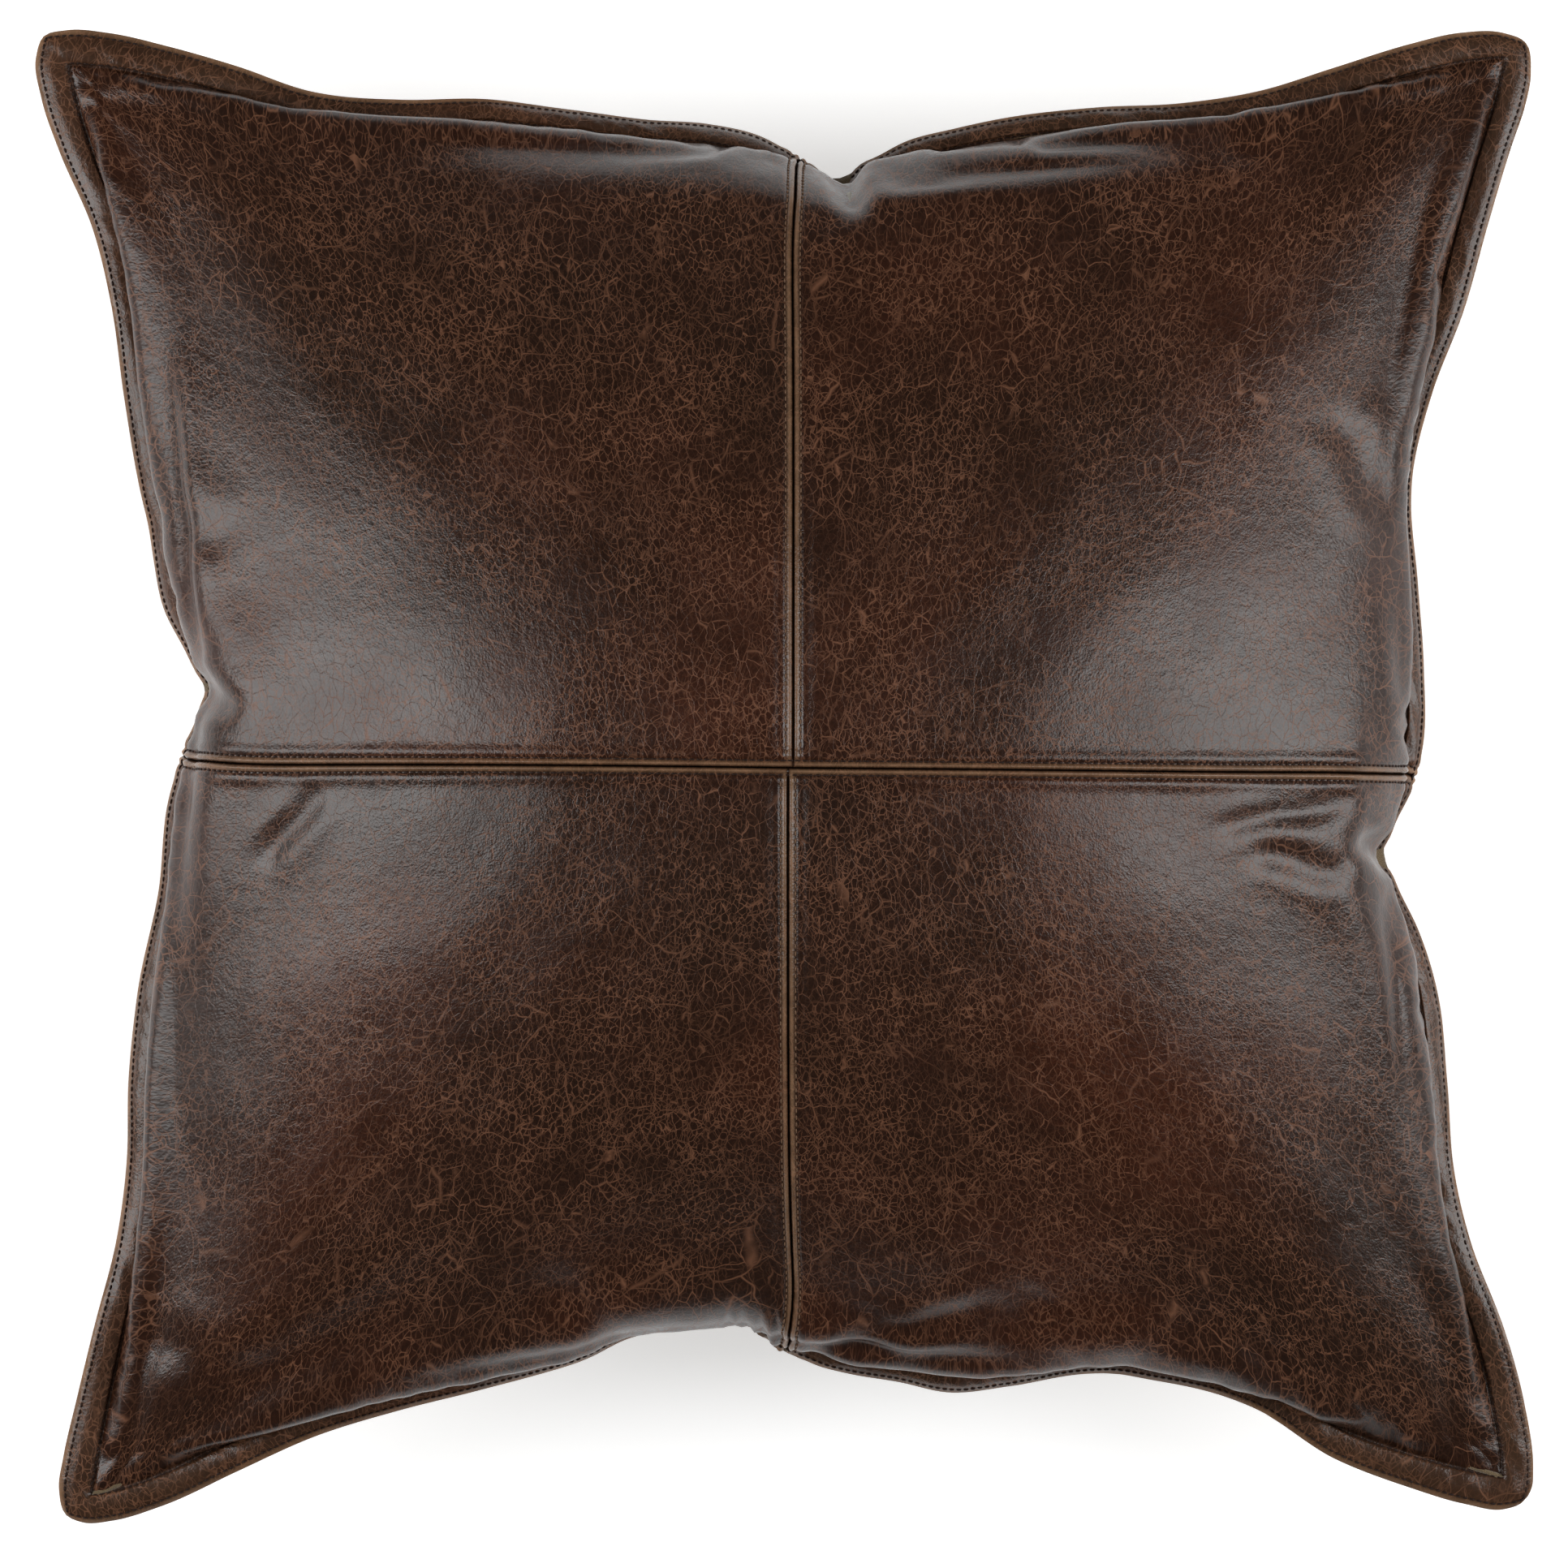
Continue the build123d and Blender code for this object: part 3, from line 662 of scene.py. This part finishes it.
# plain weave on the piece's own cut coordinates: two crossed waves, each yarn a little different
def wovenMaterial(name, warp, weft, threads, rough=0.85, bumpDistance=0.0003):
    material, tree, skin = newMaterial(name)
    link = tree.links.new
    place = tree.nodes.new("ShaderNodeUVMap")
    place.uv_map = "cut"
    split = tree.nodes.new("ShaderNodeSeparateXYZ")
    link(place.outputs["UV"], split.inputs[0])
    turn = threads * 2 * np.pi
    waves = [maths(tree, "SINE", maths(tree, "MULTIPLY", split.outputs[k], float(turn))) for k in (0, 1)]
    over = maths(tree, "MULTIPLY", waves[0], waves[1])
    yarn = addNode(tree, "TexNoise", Scale=420.0, Detail=3.0)
    stretch = addNode(tree, "Mapping")
    stretch.inputs["Scale"].default_value = (1.0, 0.08, 1.0)
    link(place.outputs["UV"], stretch.inputs["Vector"])
    link(stretch.outputs[0], yarn.inputs["Vector"])
    tone = mix(tree, "MIX", ramp(tree, over, [(0.0, 0.0), (1.0, 1.0)]), colour(weft), colour(warp))
    tone = mix(tree, "MULTIPLY", 0.6, tone, ramp(tree, yarn.outputs["Fac"], [(0.3, 0.62), (0.7, 1.2)]))
    link(tone, skin.inputs["Base Color"])
    skin.inputs["Roughness"].default_value = rough
    skin.inputs["Specular IOR Level"].default_value = 0.2
    skin.inputs["Sheen Weight"].default_value = 0.25
    height = maths(tree, "ADD", maths(tree, "ABSOLUTE", waves[0]), maths(tree, "ABSOLUTE", waves[1]))
    rise = addNode(tree, "Bump", Strength=0.6, Distance=bumpDistance)
    link(height, rise.inputs["Height"])
    link(rise.outputs["Normal"], skin.inputs["Normal"])
    return material


def threadMaterial(name, tone):
    material, tree, skin = newMaterial(name)
    place = tree.nodes.new("ShaderNodeTexCoord")
    fuzz = addNode(tree, "TexNoise", Scale=2600.0, Detail=2.0)
    tree.links.new(place.outputs["Object"], fuzz.inputs["Vector"])
    base = np.array(colour(tone))
    shade = ramp(tree, fuzz.outputs["Fac"],
                     [(0.3, (*(base[:3] * 0.65), 1.0)), (0.7, (*(base[:3] * 1.3), 1.0))])
    tree.links.new(shade, skin.inputs["Base Color"])
    skin.inputs["Roughness"].default_value = 0.6
    skin.inputs["Specular IOR Level"].default_value = 0.3
    return material


def brassMaterial():
    material, tree, skin = newMaterial("antiqueBrass")
    place = tree.nodes.new("ShaderNodeTexCoord")
    stain = addNode(tree, "TexNoise", Scale=260.0, Detail=4.0, Roughness=0.6)
    tree.links.new(place.outputs["Object"], stain.inputs["Vector"])
    shade = ramp(tree, stain.outputs["Fac"],
                     [(0.35, colour("4a371d")), (0.55, colour("80643a")), (0.75, colour("a58756"))])
    tree.links.new(shade, skin.inputs["Base Color"])
    tree.links.new(ramp(tree, stain.outputs["Fac"], [(0.3, 0.5), (0.7, 0.3)]), skin.inputs["Roughness"])
    skin.inputs["Metallic"].default_value = 1.0
    return material


skinMaterial = leatherMaterial()
backMaterial = wovenMaterial("backTwill", "8a7658", "6b5a41", 900.0)
tapeMaterial = wovenMaterial("zipTape", "5f4c37", "4b3b2a", 1500.0, 0.8)
tickingMaterial = wovenMaterial("insertTicking", "e6e1d6", "d8d2c5", 1800.0, 0.9)
brownThread = threadMaterial("brownThread", "24130b")
# the upright seams' thread gets a lighter tone than brownThread, a painted highlight of thread lit from the
# side
paintedHighlightThread = threadMaterial("paintedHighlightThread", "6f5440")
tanThread = threadMaterial("tanThread", "8f7755")
coilMaterial = threadMaterial("zipCoil", "58452f")
brass = brassMaterial()

# front: four leather panels
panelLook = {"fine": 0.55, "coarse": 2.3}


# panel of the cut square between two lines each way, as a grid that is closer near seams and stitch line
def leatherPanel(name, node, aFrom, aTo, bFrom, bTo, offset):
    dense = [(cover["upperSeam"], 5.0), (cover["lowerSeam"], 5.0),
             (-cover["sewn"], 2.5), (cover["sewn"], 2.5)]
    denseB = [(cover["acrossSeam"], 5.0), (-cover["sewn"], 2.5), (cover["sewn"], 2.5)]
    aLine = spaced(aFrom, aTo, panelLook["fine"], panelLook["coarse"], dense)
    bLine = spaced(bFrom, bTo, panelLook["fine"], panelLook["coarse"], denseB)
    a, b = np.meshgrid(aLine, bLine, indexing="ij")
    flatA, flatB = a.ravel(), b.ravel()
    points, _ = leatherPoint(flatA, flatB)
    piece = meshPiece(name, points, gridFaces(len(aLine), len(bLine)), skinMaterial)
    addUV(piece.data, flatA + offset[0], flatB + offset[1])
    outer = cover["half"] - np.maximum(np.abs(flatA), np.abs(flatB))
    gap = seamGap(flatA, flatB)
    # worn fibre at the rim, a painted highlight on the ridges beside the seams, and a faint lightening over
    # the flange
    wearAndPaintedSheen = (0.9 * bump(np.minimum(outer, 30), 0.8)
            + 0.62 * bump(gap - 1.5, 1.0) + 0.10 * smoothStep((13 - outer) / 2))
    addNumbers(piece.data, "wearAndPaintedSheen", wearAndPaintedSheen)
    # painted shade, near black, in the seam grooves and along the flange's stitch line
    dark = 0.95 * bump(gap, 0.45) + 0.5 * bump(outer - 12.0, 0.55)
    addNumbers(piece.data, "paintedSeamShade", np.clip(dark, 0, 1))
    thicken(piece, cover["leather"] * 0.95)
    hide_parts(node)
    return piece


half, across = cover["half"], cover["acrossSeam"]
for cut in [
    ("leatherTopLeft", "front_panel_top_left",
     -half, cover["upperSeam"], across, half, (900, 300)),
    ("leatherTopRight", "front_panel_top_right",
     cover["upperSeam"], half, across, half, (2300, 1100)),
    ("leatherBottomLeft", "front_panel_bottom_left",
     -half, cover["lowerSeam"], -half, across, (4100, 2500)),
    ("leatherBottomRight", "front_panel_bottom_right",
     cover["lowerSeam"], half, -half, across, (6200, 4700)),
]:
    leatherPanel(*cut)
print("leather panels made")


# stitches
# one thread stitch at each place: a little tube that bows up in the middle and dives at its ends
def stitches(name, places, tangents, normals, material, slotName, length=2.1, radius=0.36, sink=0.12):
    ring = np.arange(5) / 5 * 2 * np.pi
    t = np.linspace(-1, 1, 6)
    side_ = np.cross(normals, tangents)
    along = t[:, None] * length / 2
    lift = (1 - t ** 4)[:, None] * radius * 1.0 - sink
    thick = (radius * np.sqrt(np.clip(1.06 - np.abs(t) ** 3, 0.02, 1)))[:, None]
    cross_ = np.cos(ring)[None] * thick
    up = lift + np.sin(ring)[None] * thick
    p = (places[:, None, None] + along[None, :, :, None] * tangents[:, None, None]
         + cross_[None, ..., None] * side_[:, None, None] + up[None, ..., None] * normals[:, None, None])
    n, rows, roundLine = p.shape[:3]
    index = np.arange(rows * roundLine).reshape(rows, roundLine)
    nextIndex = np.roll(index, -1, 1)
    quads = np.stack([index[:-1], nextIndex[:-1], nextIndex[1:], index[1:]], -1).reshape(-1, 4)[:, ::-1]
    offset = (np.arange(n) * rows * roundLine)[:, None, None]
    faces = (quads[None] + offset).reshape(-1, 4).tolist()
    caps = np.stack([index[0], index[-1, ::-1]])
    faces += (caps[None] + offset).reshape(-1, 5).tolist()
    return meshPiece(name, p.reshape(-1, 3), faces, material)


# places, directions and normals at one pitch along a path of the cut square, measured on the surface
def rowOnCover(point, pathA, pathB, pitch, sign=1.0):
    p, _ = point(pathA, pathB)
    length = np.r_[0, np.cumsum(np.linalg.norm(np.diff(p, axis=0), axis=1))]
    at = np.arange(pitch / 2, length[-1], pitch)
    a, b = np.interp(at, length, pathA), np.interp(at, length, pathB)
    ahead = np.interp(at + 0.4, length, pathA), np.interp(at + 0.4, length, pathB)
    behind = np.interp(at - 0.4, length, pathA), np.interp(at - 0.4, length, pathB)
    p, n = point(a, b)
    tangent = point(*ahead)[0] - point(*behind)[0]
    tangent /= np.maximum(np.linalg.norm(tangent, axis=1, keepdims=True), 1e-9)
    n = n - (n * tangent).sum(1, keepdims=True) * tangent
    n *= sign / np.maximum(np.linalg.norm(n, axis=1, keepdims=True), 1e-9)
    return p, tangent, n


def joined(rows):
    return [np.vstack([row[i] for row in rows]) for i in range(3)]


stitch = {"pitch": 2.6, "row": 3.1, "edge": 9.8}
run = np.linspace(-1, 1, 1200)
edgeIn = cover["half"] - 1.2
acrossRows = joined([rowOnCover(leatherPoint,
                                run * edgeIn, np.full(1200, across + s * stitch["row"]), stitch["pitch"])
                     for s in (-1, 1)])
topstitchAcross = stitches("topstitchAcross", *acrossRows, brownThread, "brown_thread")
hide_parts("topstitch_across")
upRun = np.linspace(across + stitch["row"] + 2, edgeIn, 700)
upperRows = joined([rowOnCover(leatherPoint,
                               np.full(700, cover["upperSeam"] + s * stitch["row"]), upRun, stitch["pitch"])
                    for s in (-1, 1)])
# upright seam rows in the lighter thread tone: painted highlight
topstitchUpper = stitches("topstitchUpper", *upperRows, paintedHighlightThread, "brown_thread")
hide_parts("topstitch_upper")
downRun = np.linspace(-edgeIn, across - stitch["row"] - 2, 700)
lowerRows = joined([rowOnCover(leatherPoint,
                               np.full(700, cover["lowerSeam"] + s * stitch["row"]), downRun, stitch["pitch"])
                    for s in (-1, 1)])
# upright seam rows in the lighter thread tone: painted highlight
topstitchLower = stitches("topstitchLower", *lowerRows, paintedHighlightThread, "brown_thread")
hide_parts("topstitch_lower")


# four rows round the cover at one distance from its centre
def squareRows(at, pitch):
    full = np.full(1200, at)
    return joined([rowOnCover(leatherPoint, *path, pitch) for path in
                   ((run * at, full), (run * at, -full), (full, run * at), (-full, run * at))])


flangeStitch = stitches("flangeStitch", *squareRows(cover["sewn"] + 0.4, stitch["pitch"]),
                        brownThread, "brown_thread",
                        radius=0.33)
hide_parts("flange_stitch")
edgeStitch = stitches("edgeStitch", *squareRows(cover["sewn"] + stitch["edge"], stitch["pitch"]), brownThread,
                      "brown_thread", radius=0.4)
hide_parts("edge_stitch")
print("stitch rows made")


# back panel, facing and flange underside
def backPoint(a, b):
    return coverPoint(backSheet, a, b)


# soft gathers along the stitch line and a slow slackness
def backRelief(a, b):
    fromLine = cover["sewn"] - np.maximum(np.abs(a), np.abs(b))
    roundLine = np.where(np.abs(a) > np.abs(b), b + 1.1 * a, a + 1.9 * b)
    gather = (np.sin(roundLine / 3.3 + 2.4 * np.sin(roundLine / 17.0))
              + 0.6 * np.sin(roundLine / 5.9 + 1.2 * np.sin(roundLine / 31.0)))
    near = np.exp(-np.maximum(fromLine, 0) / 11.0) * smoothStep(fromLine / 3.0)
    return (0.7 * gather * near
            + 0.3 * np.sin(a / 15 + 1.1 * np.sin(b / 27)) * np.sin(b / 21 + 1.4 * np.sin(a / 33)))


backLook = {"fine": 1.2, "coarse": 3.4, "wallRows": 11}
sewn = cover["sewn"]
aLine = spaced(-half, half, backLook["fine"], backLook["coarse"], [(-sewn, 2.5), (sewn, 2.5)])
bLine = spaced(-sewn, half, backLook["fine"], backLook["coarse"], [(-sewn, 2.5), (sewn, 2.5)])
a, b = np.meshgrid(aLine, bLine, indexing="ij")
base = backPoint(a.ravel(), b.ravel())
outward = -normalOf(backPoint, a.ravel(), np.maximum(b.ravel(), -sewn + 1.6))
low = np.where(base[:, 2] > 6, 1.0, base[:, 2] / 6)
fromSewn = cover["sewn"] - np.maximum(np.abs(a), np.abs(b))
underFlange = cover["fabric"] * smoothStep((7 - fromSewn) / 6).ravel()
sheetPoints = base + outward * (backRelief(a.ravel(), b.ravel()) * low + underFlange)[:, None]
sheetPoints = sheetPoints.reshape(len(aLine), len(bLine), 3)
wallTopLine, wallFootLine = wallLine(zipLine["wallTop"]), wallLine(zipLine["wallFoot"])
inner = np.abs(aLine) <= sewn + 1e-6
shareA = np.clip((aLine + sewn) / (2 * sewn), 0, 1)


def onLine(line, share):
    even = np.linspace(0, 1, len(line))
    return np.stack([np.interp(share, even, line[:, k]) for k in range(3)], -1)


steps = np.linspace(0, 1, backLook["wallRows"])[:-1]      # 0 at the wall's top, towards 1 at its foot
topPoints, footPoints = onLine(wallTopLine, shareA), onLine(wallFootLine, shareA)
wallPoints = topPoints[:, None] + steps[None, :, None] * (footPoints - topPoints)[:, None]
whole = np.concatenate([wallPoints, sheetPoints], 1)
n, m = whole.shape[:2]
faceA = (aLine[:-1] + aLine[1:]) / 2
faceX = (topPoints[:-1, 0] + topPoints[1:, 0]) / 2
keep = np.ones((n - 1, m - 1), bool)
wallRows = len(steps)
keep[:, :wallRows] = (np.abs(faceA) < sewn)[:, None]
slotRows = np.arange(wallRows)[None] < wallRows - 2       # the zip's opening leaves only the hem under it
keep[:, :wallRows] &= ~((np.abs(faceX) < zipLine["opening"])[:, None] & slotRows)
backPanel = meshPiece("backPanel", whole, gridFaces(n, m, keep, flip=True), backMaterial)
uPlane = np.repeat(aLine[:, None], m, 1)
vPlane = np.repeat(np.r_[-sewn - 20 + steps * 20, bLine][None], n, 0)
addUV(backPanel.data, uPlane, vPlane)
thicken(backPanel, cover["fabric"])
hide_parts("back_panel")

# facing: flange underside along the zip, then a ledge in to the top of the wall
flangeSteps = np.linspace(half, sewn + 0.01, 9)
ledgeSteps = np.linspace(0, 1, 9)[1:]
a2, q2 = np.meshgrid(aLine, -flangeSteps, indexing="ij")
flangePart = backPoint(a2.ravel(), q2.ravel()).reshape(len(aLine), len(flangeSteps), 3)
flangePart[..., 2] -= cover["fabric"]
stitchPoints = linePoint("bottom", 2, shareA) - [0, 0, cover["fabric"]]
ledge = stitchPoints[:, None] + ledgeSteps[None, :, None] * (topPoints - stitchPoints)[:, None]
ledge[..., 2] += 1.5 * np.sin(np.pi * ledgeSteps)[None]
whole = np.concatenate([flangePart, ledge], 1)
n, m = whole.shape[:2]
keep = np.ones((n - 1, m - 1), bool)
keep[:, len(flangeSteps) - 1:] = (np.abs(faceA) < sewn)[:, None]
facing = meshPiece("backFacing", whole, gridFaces(n, m, keep, flip=True), backMaterial)
addUV(facing.data, np.repeat(aLine[:, None], m, 1),
      np.repeat(np.r_[-flangeSteps, -sewn + ledgeSteps * 22][None], n, 0))
thicken(facing, cover["fabric"])
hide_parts("back_flange_facing")
for piece in (backPanel, facing):
    made = bmesh.new()
    made.from_mesh(piece.data)
    bmesh.ops.remove_doubles(made, verts=made.verts, dist=2e-5)
    made.to_mesh(piece.data)
    made.free()
print("back panel and facing made")


# zip
# closed profile of up and out carried along the zip's arc, with its ends capped
def carried(name, profile, alongFrom, alongTo, count, material, body="cover"):
    profile = np.array(profile, float)
    along = np.linspace(alongFrom, alongTo, count)
    p = zipPoint(along[:, None], profile[None, :, 0], profile[None, :, 1])
    k = len(profile)
    index = np.arange(count * k).reshape(count, k)
    nextIndex = np.roll(index, -1, 1)
    faces = np.stack([index[:-1], nextIndex[:-1], nextIndex[1:], index[1:]], -1).reshape(-1, 4).tolist()
    faces += [index[0, ::-1].tolist(), index[-1].tolist()]
    piece = meshPiece(name, p, faces, material, body)
    acrossRun = profile[:, 0] + 2 * profile[:, 1]
    addUV(piece.data, np.repeat(along[:, None], k, 1), np.repeat(acrossRun[None], count, 0))
    return piece


tapeEdge = {"near": 0.5, "inner": -1.65, "outer": -1.05}
tapeEnd = zipLine["chain"] / 2 + 6
for name, node, sign, far in (("zipTapeUpper", "zipper_tape_upper", 1, 8.0),
                              ("zipTapeLower", "zipper_tape_lower", -1, 10.5)):
    near, inner, outer = sign * tapeEdge["near"], tapeEdge["inner"], tapeEdge["outer"]
    cord = sign * 3.6
    profile = [(near, inner), (far * sign, inner), (far * sign, outer), (cord + sign * 0.7, outer),
               (cord, outer + 0.14), (near, outer)]
    tape = carried(name, profile if sign < 0 else profile[::-1],
                       -tapeEnd, tapeEnd, 160, tapeMaterial)
    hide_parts(node)

coil = {"pitch": 1.5, "upMiddle": 1.85, "upReach": 1.06, "outMiddle": 0.05, "outReach": 0.66, "wire": 0.27}


# a row of monofilament loops: rings in the up and out plane, each leaning on to the next
def coilRow(name, node, sign):
    length = zipLine["chain"] - 6
    count = int(length / coil["pitch"])
    at = (np.arange(count) - (count - 1) / 2) * length / count
    ringT = np.arange(9) / 9 * 2 * np.pi
    tubeT = np.arange(4) / 4 * 2 * np.pi
    flatten = 1 + 0.22 * np.cos(2 * ringT)
    r = coil["wire"] * np.cos(tubeT)
    up = sign * (coil["upMiddle"] + (coil["upReach"] + r[None]) * np.cos(ringT)[:, None])
    out = coil["outMiddle"] + (coil["outReach"] * flatten[:, None] + r[None]) * np.sin(ringT)[:, None]
    lean = 0.28 * coil["pitch"] * np.cos(ringT)[:, None] + coil["wire"] * np.sin(tubeT)[None]
    p = zipPoint(at[:, None, None] + lean[None] + sign * 0.25 * coil["pitch"], up[None], out[None])
    index = np.arange(36).reshape(9, 4)
    right, above = np.roll(index, -1, 0), np.roll(index, -1, 1)
    quads = np.stack([index, right, np.roll(right, -1, 1), above], -1).reshape(-1, 4)
    if sign < 0:
        quads = quads[:, ::-1]
    faces = (quads[None] + (np.arange(count) * 36)[:, None, None]).reshape(-1, 4)
    piece = meshPiece(name, p, faces, coilMaterial)
    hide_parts(node)
    return piece


coilRow("zipCoilUpper", "zipper_coil_upper", 1)
coilRow("zipCoilLower", "zipper_coil_lower", -1)


# stitch row on the wall, along the zip's arc at one height
def wallRow(at, up, pitch=2.8):
    along = np.arange(-at, at, pitch)
    p = zipPoint(along, up, 0.1)
    ahead = zipPoint(along + 0.5, up, 0.1) - p
    tangent = ahead / np.linalg.norm(ahead, axis=1, keepdims=True)
    normal = zipPoint(along, up, 1.1) - p
    return p, tangent, normal / np.linalg.norm(normal, axis=1, keepdims=True)


zipStitch = stitches("zipTopstitch", *wallRow(tapeEnd - 1, -10.0), tanThread, "tan_thread", radius=0.3)
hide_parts("zipper_topstitch")
for node in ("zipper_slider", "zipper_pull_tab", "zipper_top_stops", "zipper_bottom_stop"):
    frame["nodes"][node].data.materials.clear()
    frame["nodes"][node].data.materials.append(brass)
print("zip made")

# insert
insertLook = {"gap": 2.4, "cells": 90, "inFrom": 9.0, "frontFromZip": 34.0, "backFromZip": 14.0}


# the feather insert: the two settled sheets drawn in by a small gap, closed along a rounded rim
def insertPiece():
    look = insertLook
    t = np.sin(np.linspace(-np.pi / 2, np.pi / 2, look["cells"]))
    reach = sewn - look["inFrom"]
    a, share = np.meshgrid(t * reach, (t + 1) / 2, indexing="ij")
    frontB = share * reach - (1 - share) * (sewn - look["frontFromZip"])
    backB = share * reach - (1 - share) * (sewn - look["backFromZip"])
    flat = a.ravel(), backB.ravel()
    frontFlat = a.ravel(), frontB.ravel()
    shape = (len(t), len(t), 3)
    front, back = frontPoint(*frontFlat).reshape(shape), backPoint(*flat).reshape(shape)
    front -= normalOf(frontPoint, *frontFlat).reshape(shape) * look["gap"]
    back += normalOf(backPoint, *flat).reshape(shape) * look["gap"]
    rim = np.zeros(shape[:2], bool)
    rim[0] = rim[-1] = True
    rim[:, 0] = rim[:, -1] = True
    middle = (front[rim] + back[rim]) / 2
    front[rim] = back[rim] = middle
    points = np.concatenate([front.reshape(-1, 3), back.reshape(-1, 3)])
    k = len(t)
    faces = np.vstack([gridFaces(k, k), gridFaces(k, k, flip=True) + k * k])
    piece = meshPiece("featherInsert", points, faces, tickingMaterial)
    both = np.r_[flat[0], flat[0]], np.r_[flat[1], flat[1]]
    addUV(piece.data, *both)
    made = bmesh.new()
    made.from_mesh(piece.data)
    bmesh.ops.remove_doubles(made, verts=made.verts, dist=2e-5)
    made.to_mesh(piece.data)
    made.free()
    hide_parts("insert_ticking_front", "insert_ticking_back", "feather_fill")
    return piece


insertPiece()
print("insert made")

# floor, light and camera
studio = {"floorSize": 9.0, "floorGlow": 0.5, "sideEnergy": 15.0,
          "sideAcross": 1.3, "sideUp": 0.92, "sideSize": (0.6, 1.15),
          "overEnergy": 15.5, "world": 0.07}
floorMesh = bpy.data.meshes.new("floor")
edge = studio["floorSize"] / 2
floorMesh.from_pydata([(-edge, -edge, 0), (edge, -edge, 0), (edge, edge, 0), (-edge, edge, 0)],
                      [], [(0, 1, 2, 3)])
floor = bpy.data.objects.new("floor", floorMesh)
scene.collection.objects.link(floor)
floorMaterial, _, floorSkin = newMaterial("paleFloor")
floorSkin.inputs["Base Color"].default_value = (0.93, 0.93, 0.93, 1)
floorSkin.inputs["Roughness"].default_value = 0.9
floorSkin.inputs["Specular IOR Level"].default_value = 0.1
floorSkin.inputs["Emission Color"].default_value = (1, 1, 1, 1)
floorSkin.inputs["Emission Strength"].default_value = studio["floorGlow"]
floorMesh.materials.append(floorMaterial)


def areaLight(name, place, target, size, energy, glossy=True):
    data = bpy.data.lights.new(name, "AREA")
    data.shape, data.size, data.size_y, data.energy = "RECTANGLE", size[0], size[1], energy
    lamp = bpy.data.objects.new(name, data)
    lamp.location = place
    lamp.rotation_euler = (Vector(target) - Vector(place)).to_track_quat("-Z", "Y").to_euler()
    lamp.visible_glossy = glossy
    scene.collection.objects.link(lamp)
    return lamp


s = studio
for name, sign in (("softboxLeft", -1), ("softboxRight", 1)):
    areaLight(name, (sign * s["sideAcross"], 0.05, s["sideUp"]),
                  (sign * 0.08, 0, 0.12), s["sideSize"], s["sideEnergy"])
areaLight("overhead", (0, 0, 2.6), (0, 0, 0), (2.6, 2.6), s["overEnergy"], glossy=False)
world = bpy.data.worlds.new("studio")
world.use_nodes = True
world.node_tree.nodes["Background"].inputs["Color"].default_value = (1, 1, 1, 1)
world.node_tree.nodes["Background"].inputs["Strength"].default_value = s["world"]
scene.world = world

cameraData = bpy.data.cameras.new("camera")
cameraData.lens, cameraData.sensor_width = 100, 36
camera = bpy.data.objects.new("camera", cameraData)
camera.location = (-0.0003, -0.0028, 1.681)
scene.collection.objects.link(camera)
scene.camera = camera
